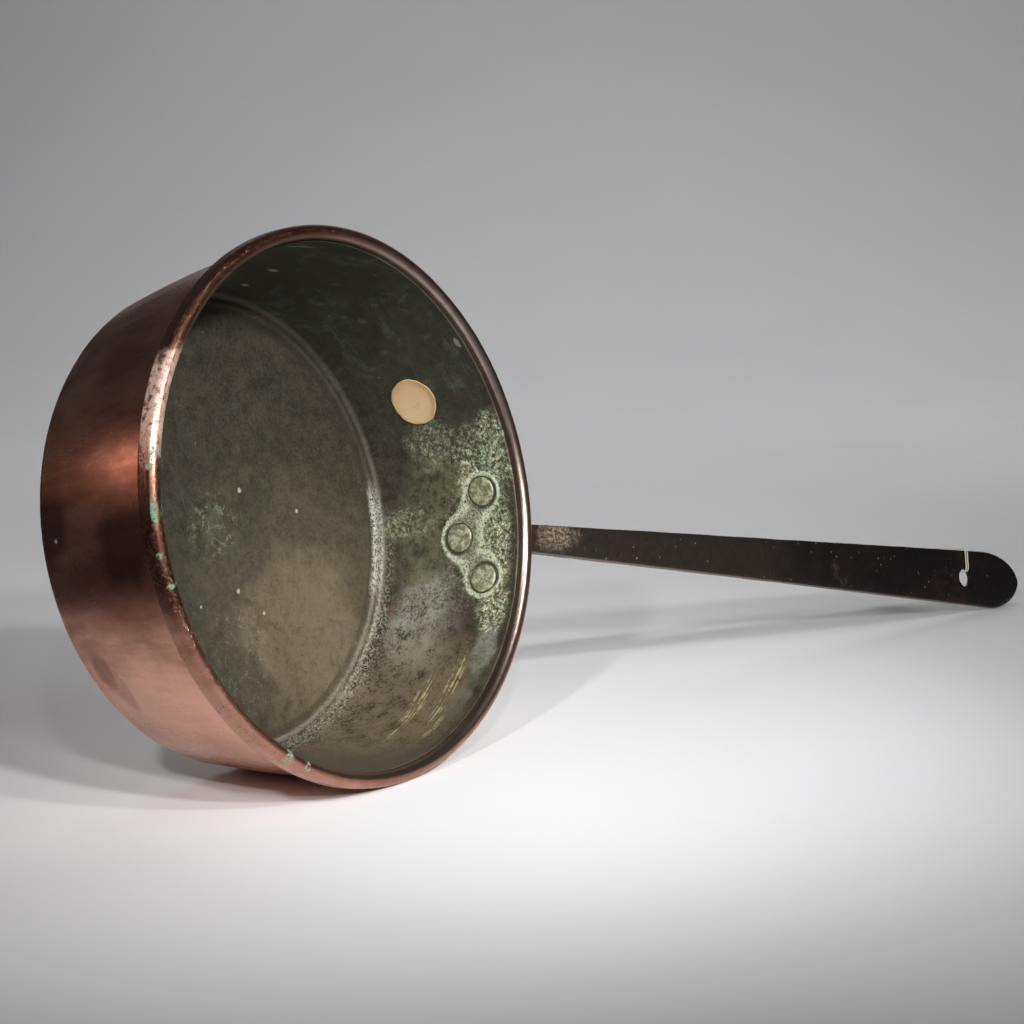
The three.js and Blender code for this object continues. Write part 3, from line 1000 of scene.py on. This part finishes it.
def rivet_seat(f, near, grain):
    """The raised line round all three rivets, the pad in it, and each head's dark sunk edge."""
    total, rings = None, []
    for name, (angle, height) in RIVETS.items():
        middle = (math.radians(angle - 180) * WALL_TOP_R, height, 0)
        aside = f.vector("SUBTRACT", f.flat, middle)
        away = f.vector("LENGTH", aside, out="Value")
        share = f.maths("EXPONENT", f.line(away, -1 / SEAT_SOFT, SEAT_LOBE_R / SEAT_SOFT))
        total = share if total is None else f.maths("ADD", total, share)
        undercut = f.vector("DOT_PRODUCT", aside, (*UNDERCUTS[name], 0), out="Value")
        deep = f.rise(f.maths("DIVIDE", undercut, away), -0.5, 0.5)
        wide = f.all_of(f.band(away, RIVET_HEAD_R + 0.9, 1.3), deep)
        rings.append(f.any_of(wide, f.band(away, RIVET_HEAD_R + 0.3, 0.6)))
    outline = f.times(f.maths("LOGARITHM", total, math.e), -SEAT_SOFT)
    outline = f.line(f.noise(3.4, 5, 0.75, seed=30), 2.8, outline)
    line = f.all_of(near, f.band(outline, 0.3, 1.5), f.rise(grain, 0.0, 0.5))
    sunk_edge = f.all_of(near, f.any_of(*rings))
    pad = f.all_of(near, f.rise(outline, 0.3, -0.9))
    return line, pad, sunk_edge


def step_wear(f, degrees, mottle, grit):
    """The step: worn, bright at its middle, a dark band of painted shade beside it, and dull
    towards one end.
    """
    r = f.radius()
    edge_bright = f.all_of(f.rise(degrees, -18, -8), f.rise(degrees, 19, 11))
    edge_wide = f.all_of(f.rise(degrees, -78, -66), f.rise(degrees, -10, -22))
    edge = f.all_of(f.band(r, STEP_R, 1.6), f.line(f.rise(degrees, 21, 12), 0.85, 0.15))
    edge_wear = f.all_of(edge, f.rise(grit, 0.36, 0.52))
    speckle = f.all_of(f.band(r, STEP_R + 2.4, 5), edge_wide, f.rise(grit, 0.46, 0.6))
    bright = f.all_of(f.band(r, STEP_R, 4.2), edge_bright, f.rise(grit, 0.42, 0.56))
    # Painted shade: a dark band inside the step, with no groove in the mesh.
    groove_shade = f.all_of(f.band(r, STEP_R - 3.2, 2.4), f.rise(mottle, 0.36, 0.52))
    dull_step = f.all_of(f.band(r, STEP_R, 5), f.rise(degrees, 18, 27))
    return f.any_of(edge_wear, speckle), bright, groove_shade, dull_step


def floor_marks(f, on_base, mottle):
    """The floor's warm place, also painted lighter as a pool of light, and blotches, hairlines, a
    cluster of squiggles and white spots.
    """
    cluster_place = f.patch((9, 2, BASE_T), (15, 15, 6), 0.9, 8, 23)
    low_place = f.patch((-6, 56, BASE_T), (20, 30, 6), 1.0, 10, 39)
    squiggle = f.band(f.noise(8, 5, 0.62, seed=24, warp=0.7), 0.5, 0.011)
    squiggle = f.all_of(squiggle, f.rise(mottle, 0.42, 0.56))
    cluster = f.all_of(f.any_of(cluster_place, f.times(low_place, 0.6)), squiggle)
    cluster_green = f.all_of(cluster_place, f.rise(mottle, 0.46, 0.6))
    places = [(-7, -15, 1.2), (-41, -10, 1), (-21, 35, 0.8), (-6, 27, 1.1), (15, 35, 0.7)]
    white_spots = f.any_of(*(
        f.patch((x, y, BASE_T), (size, size, 6), 1.0, 1.2, 25) for x, y, size in places
    ))
    # Painted light: a warm, lighter place on the floor, standing for a pool of light.
    warm_pool_wide = f.times(f.patch((-40, 34, BASE_T), (66, 62, 20), 0.9, 30, 26), 0.12)
    warm_pool_middle = f.patch((-46, 42, BASE_T), (40, 38, 20), 1.6, 18, 37)
    warm_floor_and_light_pool = f.line(warm_pool_middle, 0.27, warm_pool_wide)
    warm_floor_and_light_pool = f.all_of(warm_floor_and_light_pool, on_base)
    blotches = f.all_of(f.spots(13, 0.5, 0.72, 5, 0.7, seed=38, warp=0.8), on_base)
    hairlines = f.all_of(f.streaks(40, 0.5, 0.03, 27, f.rotated(70)), on_base)
    return warm_floor_and_light_pool, blotches, hairlines, cluster, cluster_green, white_spots


def tin_finish():
    """Worn tin, dull olive grey, with verdigris round the rivets and bright scuffs on the step."""
    f = Finish("worn_tin")
    z = f.parts()["Z"]
    f.unroll(180)
    degrees = f.maths("DEGREES", f.turn)
    on_base = f.rise(z, BASE_T + 3, BASE_T + 1)
    on_side = f.opposite(on_base)

    clouds = f.noise(24, 5, 0.6, seed=1, warp=0.5)
    mottle = f.noise(5, 6, 0.68, seed=2)
    grit = f.noise(1.0, 4, 0.75, seed=3)
    crumbs = f.spots(2.2, 0.42, 0.6, 6, 0.82, seed=4, warp=0.6)

    fine = f.line(grit, 0.5, f.times(mottle, 0.5))
    shade = f.rise(fine, 0.36, 0.66)
    olive = f.blend(shade, "2e2b25", "4c483d")
    warm = f.blend(shade, "37322a", "575041")
    base = f.blend(f.rise(clouds, 0.3, 0.75), olive, warm)

    def wall(angle, height, half_angle, half_height, seed, ragged=1.0, size=9):
        edge = {"ragged": ragged, "size": size, "seed": seed}
        return f.all_of(f.wall_patch(angle, height, half_angle, half_height, **edge), on_side)

    # The wall, going round: dark behind the dot, then crusted green, then paler under the light
    dark_green = wall(250, 42, 46, 60, 1)
    smooth_brown = wall(105, 40, 16, 60, 2, 0.6)
    warm_wall = f.all_of(wall(133, 34, 26, 40, 32, 0.8, 16), f.rise(fine, 0.38, 0.54))
    glaze = f.all_of(
        f.any_of(wall(193, 34, 11, 20, 33), wall(176, 26, 14, 16, 40)),
        f.spots(5, 0.4, 0.6, 6, 0.72, seed=44, warp=0.4),
    )
    crust_low = f.blend(f.rise(clouds, 0.4, 0.6), "676640", "56664d")
    grain = f.spots(0.9, 0.38, 0.62, 4, 0.75, seed=34)
    tone = f.spots(7, 0.4, 0.6, 5, 0.65, seed=41)
    crust_high = f.blend(tone, "c9dbb5", "ebe6c2")
    # Painted highlight: a paler patch low on the wall where the light is mirrored.
    tin_painted_highlight = f.all_of(wall(158, 27, 15, 18, 3, 1.3, 14), f.rise(fine, 0.4, 0.54))
    smear = f.all_of(wall(150, 63, 7.5, 6.5, 4, 1.3, 7), f.rise(fine, 0.34, 0.56))
    pale_edge = wall(137, 63, 11, 5, 45, 1.2, 9)
    purple = f.all_of(wall(157, 45, 10, 12, 5), f.rise(mottle, 0.42, 0.5))
    faint_places = f.any_of(wall(204, 36, 8, 16, 11, 1.4), wall(185, 16, 5, 18, 8, 1.3))
    crust_place = f.any_of(
        wall(161, 62, 7, 9, 6), wall(197, 58, 10, 17, 7, 1.3), wall(178, 62, 18, 8, 10, 1.4),
        wall(205, 66, 6, 8, 35, 1.3), f.times(faint_places, 0.45),
    )
    crust = f.all_of(crust_place, crumbs)
    bright_green = f.all_of(wall(185, 6, 4, 6, 12), crumbs)
    outline_green = f.all_of(wall(179, 52, 19, 21, 13, 0.5), f.rise(grit, 0.5, 0.62))
    rust = wall(162.5, 10, 2, 2.4, 14, 1.2, 3)
    scratch_place = f.any_of(
        wall(125, 60, 5, 2, 15, 0.8), wall(137, 54, 14, 4, 16, 0.8), wall(132, 42, 13, 4, 17, 0.8)
    )
    broken = f.spots(1.8, 0.4, 0.5, 4, 0.7, seed=42)
    scratches = f.all_of(scratch_place, f.streaks(14, 0.62, 0.5, 18), broken)
    yellowed = wall(132, 50, 16, 13, 43, 1.2, 12)
    dull_scratches = f.all_of(f.streaks(30, 0.5, 0.1, 19), on_side)
    worn_side = f.rise(degrees, 10, -2)
    foot = f.all_of(f.rise(z, 10, 6), on_side, f.rise(grit, 0.5, 0.6), worn_side)
    scuffs = f.all_of(f.spots(15, 0.5, 0.66, 6, 0.68, seed=36, warp=1.2), dark_green)
    foot_dark = f.all_of(f.rise(z, 11, 7), on_side, f.rise(mottle, 0.5, 0.4))
    pale_spots = f.any_of(
        wall(272, 33, 1.8, 1.6, 20, 1.2, 2), wall(271, 15, 1.3, 1.3, 21, 1.2, 2),
        wall(281, 63, 6, 0.8, 22, 1.0, 3), wall(228, 69, 1.6, 1.4, 9, 1.2, 2),
    )

    near_rivets = f.all_of(on_side, f.rise(z, 20, 25))
    line, pad, sunk_edge = rivet_seat(f, near_rivets, grain)
    step_worn, bright, groove_shade, dull_step = step_wear(f, degrees, mottle, grit)
    warm_floor_and_light_pool, blotches, hairlines, cluster, cluster_green, white_spots = floor_marks(
        f, on_base, mottle
    )
    flecks = f.all_of(f.dots(5.5, 0.11, 28), f.rise(mottle, 0.5, 0.56))
    dark_flecks = f.all_of(f.dots(4.2, 0.13, 29), f.rise(mottle, 0.52, 0.46))
    colour = f.layered(
        base,
        # Painted light: the warm place on the floor, painted lighter as a pool of light
        (f.all_of(warm_floor_and_light_pool, f.rise(fine, 0.2, 0.55)), 1, "a08f74"),
        (blotches, 0.45, f.blend(clouds, "29271f", "54483a")),
        (smooth_brown, 0.5, "6c5f52"),
        (dark_green, 0.8, f.blend(mottle, "23261f", "4a4c40")),
        # Painted highlight, paler where the light is mirrored
        (tin_painted_highlight, 0.85, f.blend(mottle, "8f8b80", "b2afa5")),
        (yellowed, 0.4, "6b6136"),
        (pale_edge, 0.4, "70756a"),
        (smear, 0.8, f.blend(fine, "63695f", "c6c9bd")),
        (purple, 0.6, "453733"),
        (dull_scratches, 0.35, "9a9585"),
        (foot_dark, 0.7, "342f27"),
        (foot, 0.5, "8f897a"),
        (glaze, 0.75, f.blend(fine, "3d3f30", "878666")),
        (warm_wall, 0.75, f.blend(fine, "5a5041", "93866d")),
        (scuffs, 0.7, f.blend(mottle, "171a14", "78807a")),
        (crust, 0.9, f.blend(grain, crust_low, crust_high)),
        (pad, 0.75, f.blend(grain, "5f6052", "a3a58c")),
        (outline_green, 0.5, "a4ad88"),
        (bright_green, 0.5, "5c7a50"),
        (line, 0.85, f.blend(mottle, "9aa37e", "d5d8c4")),
        (sunk_edge, 0.8, "26241b"),
        (scratches, 0.85, f.blend(grit, "a8a060", "e0dcae")),
        (rust, 0.5, "644936"),
        # Painted shade inside the step
        (groove_shade, 0.6, "38342c"),
        (dull_step, 0.6, f.blend(mottle, "221e1a", "4a4137")),
        (step_worn, 0.65, "989184"),
        (bright, 0.9, "cbc8bf"),
        (cluster_green, 0.2, "6f8062"),
        (cluster, 0.7, "9ca38c"),
        (hairlines, 0.3, "8d8878"),
        (dark_flecks, 0.5, "2b2822"),
        (flecks, 0.5, "a39e8d"),
        (f.any_of(white_spots, pale_spots), 0.6, "b3b2a4"),
    )
    crusted = f.any_of(crust, line, outline_green, bright_green, white_spots, foot)
    rough = f.levels(
        f.line(mottle, 0.3, 0.36), (bright, 0.45), (smear, 0.3), (crusted, 0.85)
    )
    metal = f.levels(0.45, (bright, 0.55), (crusted, 0.0), (dark_green, 0.3))
    f.set(Base_Color=colour, Roughness=rough, Metallic=metal)
    heaps = f.line(f.any_of(crust, outline_green), 0.7, grit)
    cuts = f.any_of(dark_flecks, scratches, sunk_edge, f.times(cluster, 0.6))
    f.bump(f.line(cuts, -0.6, heaps), 0.22, 0.6)
    return f.material


def iron_finish(name="forged_iron"):
    """Forged iron, nearly black towards the tip, browner by the pan, with rust and pits."""
    f = Finish(name)
    x, y, _ = f.parts()
    cloud = f.noise(18, 5, 0.6, seed=1)
    mottle = f.noise(4, 5, 0.7, seed=2)
    grit = f.noise(1.2, 5, 0.75, seed=3)
    far = f.rise(x, -230, -380)
    black = f.blend(mottle, "141112", "221d1c")
    brown = f.blend(mottle, "211b17", "3a302a")
    base = f.blend(f.rise(f.line(far, 0.7, cloud), 0.5, 0.95), brown, black)
    root = f.patch((-EATEN_X, -2, 60), (14, 8, 30), 1.3, 8, 4)
    crust = f.all_of(root, f.spots(1.3, 0.4, 0.62, 5, 0.8, seed=5))
    rust = f.rise(f.line(grit, 0.5, cloud), 0.88, 1.0)
    red = f.all_of(f.patch((-400, 6, 122), (18, 12, 12), 0.9, 8, 6), f.rise(mottle, 0.4, 0.6))
    reddish = f.spots(34, 0.48, 0.66, 4, 0.6, seed=9)
    pits = f.dots(4.4, 0.16, 7)
    chalk = f.all_of(f.dots(3.2, 0.2, 8), f.rise(mottle, 0.42, 0.52))
    # The bar's +Y side is about this far from its middle line
    bar_side = f.line(x, -0.0282, 2.85)
    past_side = f.maths("SUBTRACT", y, bar_side)
    # Painted highlight: a pale line along the bar's +Y edge, broken up by noise.
    edge = f.all_of(f.rise(past_side, -0.9, -0.2), f.rise(cloud, 0.25, 0.45))
    colour = f.layered(
        base,
        (reddish, 0.4, "3a2620"),
        (rust, 0.4, "3d2f27"),
        (crust, 0.7, f.blend(grit, "5c4a38", "b7a48a")),
        (red, 0.5, "4d2f28"),
        (pits, 0.7, "141110"),
        (chalk, 0.75, "8b8074"),
        # Painted highlight along the +Y edge
        (edge, 0.75, "8d8172"),
    )
    rusty = f.any_of(crust, rust)
    f.set(Base_Color=colour, Metallic=f.levels(0.55, (rusty, 0.05)))
    f.set(Roughness=f.levels(f.line(grit, 0.25, 0.36), (rusty, 0.85)))
    f.bump(f.maths("SUBTRACT", f.line(crust, 0.5, grit), pits), 0.2, 0.6)
    return f.material


def paper_finish(name, low, high, stain, stain_share, roughness, edge=None):
    """Paper or yarn: fibres, slow fading, stains that gather into spots, and a grubby edge."""
    f = Finish(name)
    fibres = f.noise(0.7, 4, 0.7, seed=1)
    faded = f.noise(9, 4, 0.6, seed=2)
    spots = f.rise(f.noise(3.2, 5, 0.7, seed=3), 0.72 - stain_share, 0.86 - stain_share)
    tone = f.line(fibres, 0.4, f.times(faded, 0.6))
    base = f.blend(tone, low, high)
    colour = f.layered(base, (spots, 0.5, stain))
    if edge:
        middle, reach = edge
        worn = f.opposite(f.patch(middle, (reach,) * 3, 0.5, 4, 4))
        colour = f.layered(colour, (worn, 0.5, stain))
    f.set(Base_Color=colour)
    f.set(Roughness=roughness)
    f.bump(fibres, 0.06, 0.5)
    return f.material


# ---- Bowl ------------------------------------------------------------------------------------

def bowl_mesh():
    """The bowl's section, up its outside, round both faces of the roll and down its inside."""
    roll_in, lip_in = ROLL_HALF_W - ROLL_T, LIP_CORNER_R - ROLL_T
    inner_corner = FOOT_CORNER_R - WALL_T
    profile = np.concatenate([
        np.stack([np.linspace(0, FOOT_R, 25)[:-1], np.zeros(24)], axis=1),
        arc(FOOT_R, FOOT_CORNER_R, FOOT_CORNER_R, -90, -5, 10),
        wall_line(wall_r, FOOT_CORNER_R + 0.8, LIP_Z, 56),
        arc(ROLL_MID_R, ROLL_MID_Z, roll_in, 180, 0, 12),
        arc(LIP_MID_R, LIP_MID_Z, lip_in, 0, -90, 3),
        [[LIP_END_R, LIP_Z + ROLL_T], [LIP_END_R - 0.25, LIP_Z + 0.5], [LIP_END_R, LIP_Z]],
        arc(LIP_MID_R, LIP_MID_Z, LIP_CORNER_R, -90, 0, 7),
        arc(ROLL_MID_R, ROLL_MID_Z, ROLL_HALF_W, 0, 180, 30),
        wall_line(wall_inner_r, LIP_Z, BASE_T + inner_corner + 2, 6),
        arc(FOOT_R, BASE_T + inner_corner, inner_corner, 0, -90, 4),
        [[0, BASE_T]],
    ])
    return ring_mesh("pan_shell", turned(profile, round_angles(560)))


def bowl_relief(points, normals):
    """Hammer marks and slow unevenness outside, and a lumpier rolled rim."""
    z = points[:, 2]
    outside = np.hypot(points[:, 0], points[:, 1]) > wall_r(np.minimum(z, LIP_Z)) - 0.4
    slow = 0.22 * lumps(points, 55, 1) + 0.1 * lumps(points, 21, 2)
    marks = 0.06 * lumps(points, 11, 9)
    roll = rise(z, LIP_Z + 1.5, LIP_Z + 3)
    uneven = 0.12 * lumps(points, 26, 3) + 0.04 * lumps(points, 5, 4)
    standing = rise(z, 0, 4)
    dent = np.linalg.norm(points - np.array(wall_point(41, 17)), axis=1)
    return outside * standing * (slow + marks) * (1 - roll) + roll * uneven - 1.1 * bell(dent, 9)


def make_pan():
    """The copper bowl, with a hole for each rivet."""
    mesh = bowl_mesh()
    push(mesh, bowl_relief)
    cutters = [rod(RIVET_SHANK_R + RIVET_PLAY, 16, on_wall(*spot)) for spot in RIVETS.values()]
    pan = new_piece("pan_shell", without(mesh, *cutters), "pan_body")
    paint(pan, copper_finish())


def plate_distance(s, z, lobe=LOBE_R, soft=LOBE_SOFT):
    """Signed distance from a line round the three rivets, negative inside, at s round the wall."""
    total = 0
    for angle, height in RIVETS.values():
        middle = math.radians(angle - 180) * wall_r(height)
        total = total + np.exp(-(np.hypot(s - middle, z - height) - lobe) / soft)
    return -soft * np.log(total)


# Which way each inner head is undercut, as [round the wall, up]
UNDERCUTS = {
    "rivet_upper_right": (-0.6, 0.8),
    "rivet_upper_left": (0.8, 0.6),
    "rivet_lower": (-0.5, -0.85),
}


def tin_relief(points, normals):
    """The step's worn ridge, the raised line and the sunk edges round the rivets, and lumps."""
    r, z = np.hypot(points[:, 0], points[:, 1]), points[:, 2]
    inward = -(points[:, 0] * normals[:, 0] + points[:, 1] * normals[:, 1]) / np.maximum(r, 1)
    face = inward + normals[:, 2] > 0.3
    turn = np.arctan2(-points[:, 1], -points[:, 0])
    s = turn * wall_r(z)
    uneven = 0.1 * lumps(points, 17, 5) + 0.06 * lumps(points, 5, 6)
    worn = 1 - 0.45 * rise(np.degrees(turn), 16, 24)
    ridge = worn * (0.45 + 0.25 * lumps(points, 6, 7)) * bell(r - STEP_R, 1.9)
    outline = plate_distance(s, z, SEAT_LOBE_R, SEAT_SOFT) + 0.4 * lumps(points, 5, 10)
    line = (0.34 + 0.14 * lumps(points, 4, 8)) * bell(outline + 1.1, 0.9)
    pad = 0.1 * rise(-outline, 1.1, 2.4)
    sunk = 0
    for name, (angle, height) in RIVETS.items():
        ds, dz = s - math.radians(angle - 180) * wall_r(height), z - height
        away = np.hypot(ds, dz)
        aside = (ds * UNDERCUTS[name][0] + dz * UNDERCUTS[name][1]) / np.maximum(away, 1)
        sunk = sunk + bell(away - RIVET_HEAD_R - 0.7, 0.6) * rise(aside, -0.1, 0.6)
    on_the_wall = rise(z, 20, 24)
    return face * (uneven + ridge + on_the_wall * (line + pad - 0.3 * sunk))


def make_tin():
    """The tin skin, finely divided by the rivets, with a hole round each rivet's head."""
    corner = FOOT_CORNER_R - WALL_T - TIN_GAP
    corner_z = BASE_T + FOOT_CORNER_R - WALL_T
    face, back = -TIN_GAP - TIN_T, -TIN_GAP
    under = BASE_T + TIN_GAP
    wall_z = stretches(TIN_TOP, [67, 1], [33, 0.45], [corner_z + 1, 1])
    floor_r = stretches(FOOT_R - 0.7, [85, 0.5], [1.5, 2.7])
    profile = np.concatenate([
        [[0, under]],
        arc(FOOT_R, corner_z, corner, -90, 0, 4),
        wall_line(wall_inner_r, corner_z + 2, TIN_TOP, 8, back),
        np.stack([wall_inner_r(wall_z) + face, wall_z], axis=1),
        arc(FOOT_R, corner_z, corner - TIN_T, 0, -90, 10),
        np.stack([floor_r, np.full(len(floor_r), under + TIN_T)], axis=1),
        [[0, under + TIN_T]],
    ])
    angles = np.radians(stretches(162, [198, 0.26], [521, 1.05]))
    mesh = ring_mesh("tin_skin", turned(profile, angles))
    push(mesh, tin_relief)
    heads = [rod(RIVET_HEAD_R + 0.2, 16, on_wall(*spot)) for spot in RIVETS.values()]
    tin = new_piece("tin_skin", without(mesh, *heads), "tin_lining")
    paint(tin, tin_finish())


make_pan()
make_tin()


# ---- Rivets ----------------------------------------------------------------------------------

def make_rivets():
    """A low rounded head inside, a shank, and a dome outside, turned about the wall's normal."""
    seat_in, seat_out = -WALL_T - 0.5, 2 * PLATE_GAP + PLATE_T
    rising = np.linspace(0.12, math.pi / 2, 16)
    profile = np.concatenate([
        [[0, seat_in - 0.9], [2.5, seat_in - 0.88], [4.4, seat_in - 0.82]],
        arc(RIVET_HEAD_R - 0.6, seat_in - 0.2, 0.6, -80, 0, 6),
        [[RIVET_HEAD_R, seat_in], [RIVET_SHANK_R, seat_in], [RIVET_SHANK_R, seat_out]],
        [[RIVET_DOME_R, seat_out]],
        np.stack([
            RIVET_DOME_R * np.cos(rising), seat_out + RIVET_DOME_H * np.sin(rising)
        ], axis=1),
    ])
    finish = copper_finish(tinned_heads=True)
    for name, spot in RIVETS.items():
        mesh = turned_at(name + "_worn", profile, on_wall(*spot))
        paint(new_piece(name + "_worn", mesh, name), finish)


make_rivets()


# ---- Handle ----------------------------------------------------------------------------------

def squared(turn):
    """A sine or cosine drawn out towards a rounded square's."""
    return np.sign(turn) * np.abs(turn) ** EDGE_SHARPNESS


def forged_relief(points, normals):
    """Hammered faces, wavering edges, scale pits, and iron eaten away by rust near the pan."""
    root = bell(points[:, 0] + EATEN_X, 9)
    pits = rise(lumps(points, 1.9, 9), 0.4, 0.7)
    uneven = 0.2 * lumps(points, 24, 1) + 0.07 * lumps(points, 7, 2)
    return uneven - 0.2 * pits + root * 0.25 * lumps(points, 1.6, 3)


def bar_mesh():
    """The bar's tube of rounded rectangles, closer together at the root and at the tip."""
    tip_start = BAR_TIP_X - TIP_ROUND_L
    straight = BAR_ROOT_X + (tip_start - BAR_ROOT_X) * np.linspace(0, 1, 160)[:-1] ** 1.2
    tip = tip_start + TIP_ROUND_L * np.sin(np.linspace(0, math.pi / 2, 40))
    x = np.concatenate([straight, tip])
    around = round_angles(48)
    y = squared(np.cos(around))[:, None] * bar_width(x)[None] / 2
    z = squared(np.sin(around))[:, None] * bar_thickness(x)[None] / 2 + bar_z(x)[None]
    points = np.stack([np.broadcast_to(-x, y.shape), -y, z], axis=2)
    return ring_mesh("bar", capped(points))


def plate_mesh():
    """The trefoil round the rivets, as rings of points about its middle, bent round the wall."""
    around = round_angles(144)
    reach = np.full(len(around), 40.0)
    low = np.zeros(len(around))
    for _ in range(30):
        middle = (low + reach) / 2
        up = PLATE_MID_Z + middle * np.sin(around)
        out = plate_distance(middle * np.cos(around), up) > 0
        reach, low = np.where(out, middle, reach), np.where(out, low, middle)
    share, deep = two_faces(14, PLATE_GAP, PLATE_GAP + PLATE_T)
    outer_edge = (share == 1) & (deep > PLATE_GAP)
    rho = share[None] * reach[:, None] - 0.5 * outer_edge[None]
    s, z = rho * np.cos(around)[:, None], PLATE_MID_Z + rho * np.sin(around)[:, None]
    points = bent_round(wall_r(z) + deep[None], math.pi + s / wall_r(z), z)
    return ring_mesh("plate", points)


def make_handle():
    """The bar and the plate, with their holes, made one piece by a remesh and then worked."""
    lean = Matrix.Rotation(math.atan(bar_slope(HOLE_X)), 4, "Y")
    hole = Matrix.Translation((-HOLE_X, 0, bar_z(HOLE_X))) @ lean
    holes = [rod(RIVET_SHANK_R + RIVET_PLAY, 20, on_wall(*spot)) for spot in RIVETS.values()]
    bar = without(bar_mesh(), rod(HOLE_R, 20, hole, HOLE_FLARE))
    forged = joined(bar, without(plate_mesh(), *holes))
    remesh = ("REMESH", {"mode": "VOXEL", "voxel_size": HANDLE_VOXEL * MM})
    soften = ("SMOOTH", {"factor": 0.5, "iterations": 3})
    mesh = modified(forged, remesh, soften)
    push(mesh, forged_relief)
    handle = new_piece("forged_handle", mesh, "handle")
    paint(handle, iron_finish())


make_handle()


# ---- Hoop ------------------------------------------------------------------------------------

paint(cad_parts["rim_wire"], iron_finish("hoop_iron"))


# ---- Paper dot, tag --------------------------------------------------------------------------

DOT_RINGS = 20
DOT_FACE = 0.85
DOT_BACK = 0.62
DOT_LIFT = 0.5
DOT_LIFT_SIDE = 2.4
TAG_CURL = 1.1


def make_dot():
    """A paper dot that follows the wall, its edge lifting a little along one side."""
    around = round_angles(120)
    share, depth = two_faces(DOT_RINGS, DOT_FACE, DOT_BACK)
    ragged = 1 + 0.012 * np.sin(5 * around + 1) + 0.006 * np.sin(13 * around)
    rho = share[None] * DOT_R * ragged[:, None]
    lifting = 0.5 + 0.5 * np.cos(around - DOT_LIFT_SIDE)
    lift = DOT_LIFT * lifting[:, None] * rise(share, 0.7, 1.05)[None]
    s, v = rho * np.cos(around)[:, None], rho * np.sin(around)[:, None]
    z = DOT_Z + v
    r = wall_inner_r(z) - depth[None] - lift
    angle = math.radians(DOT_ANGLE) + s / wall_inner_r(DOT_Z)
    mesh = ring_mesh("paper_dot_aged", bent_round(r, angle, z))
    dot = new_piece("paper_dot_aged", mesh, "paper_dot")
    aged = paper_finish(
        "manila", "b9976e", "d2b68d", "94724c", 0.16, 0.85,
        edge=(wall_point(DOT_ANGLE, DOT_Z, True), DOT_R),
    )
    paint(dot, aged)


def tag_reach(around, half, top, bottom, corner):
    """How far the card's outline is from its hole in each direction."""
    c, s = np.cos(around), np.sin(around)
    sides = [(1, 0, half), (-1, 0, half), (0, 1, top), (0, -1, bottom)]
    sides += [(1, 1, half + top - corner), (-1, 1, half + top - corner)]
    reach = np.full(len(around), np.inf)
    for a, b, limit in sides:
        toward = a * c + b * s
        reach = np.where(toward > 1e-6, np.minimum(reach, limit / np.maximum(toward, 1e-6)), reach)
    return reach


def make_tag():
    """The white card, hanging by its hole from the string and curling a little towards its end."""
    around = round_angles(240)
    reach = tag_reach(around, TAG_W / 2, TAG_HOLE_DOWN, TAG_L - TAG_HOLE_DOWN, TAG_CORNER)
    share, deep = two_faces(16, -TAG_T / 2, TAG_T / 2)
    rho = TAG_HOLE_R + share[None] * (reach[:, None] - TAG_HOLE_R)
    u, v = rho * np.cos(around)[:, None], rho * np.sin(around)[:, None]
    hangs = by_hole(0, TAG_Y, -TAG_DROP) / MM
    drop = TAG_HOLE_R - STRING_D / 2 - 0.3
    curl = TAG_CURL * (np.maximum(-v - 4, 0) / TAG_L) ** 2 * (1 + 0.03 * u)
    points = np.stack([
        hangs.x + u,
        hangs.y + deep[None] - 2 * curl,
        hangs.z - drop + v,
    ], axis=2)
    mesh = ring_mesh("paper_tag_card", points, loop=True)
    tag = new_piece("paper_tag_card", mesh, "paper_tag")
    paint(tag, paper_finish("card", "dad7cd", "ecebe5", "b5a98e", 0.04, 0.8))
    return tag


make_dot()
tag = make_tag()
paint(string, paper_finish("cotton", "d6d1c3", "efece2", "b0a287", 0.06, 0.9))
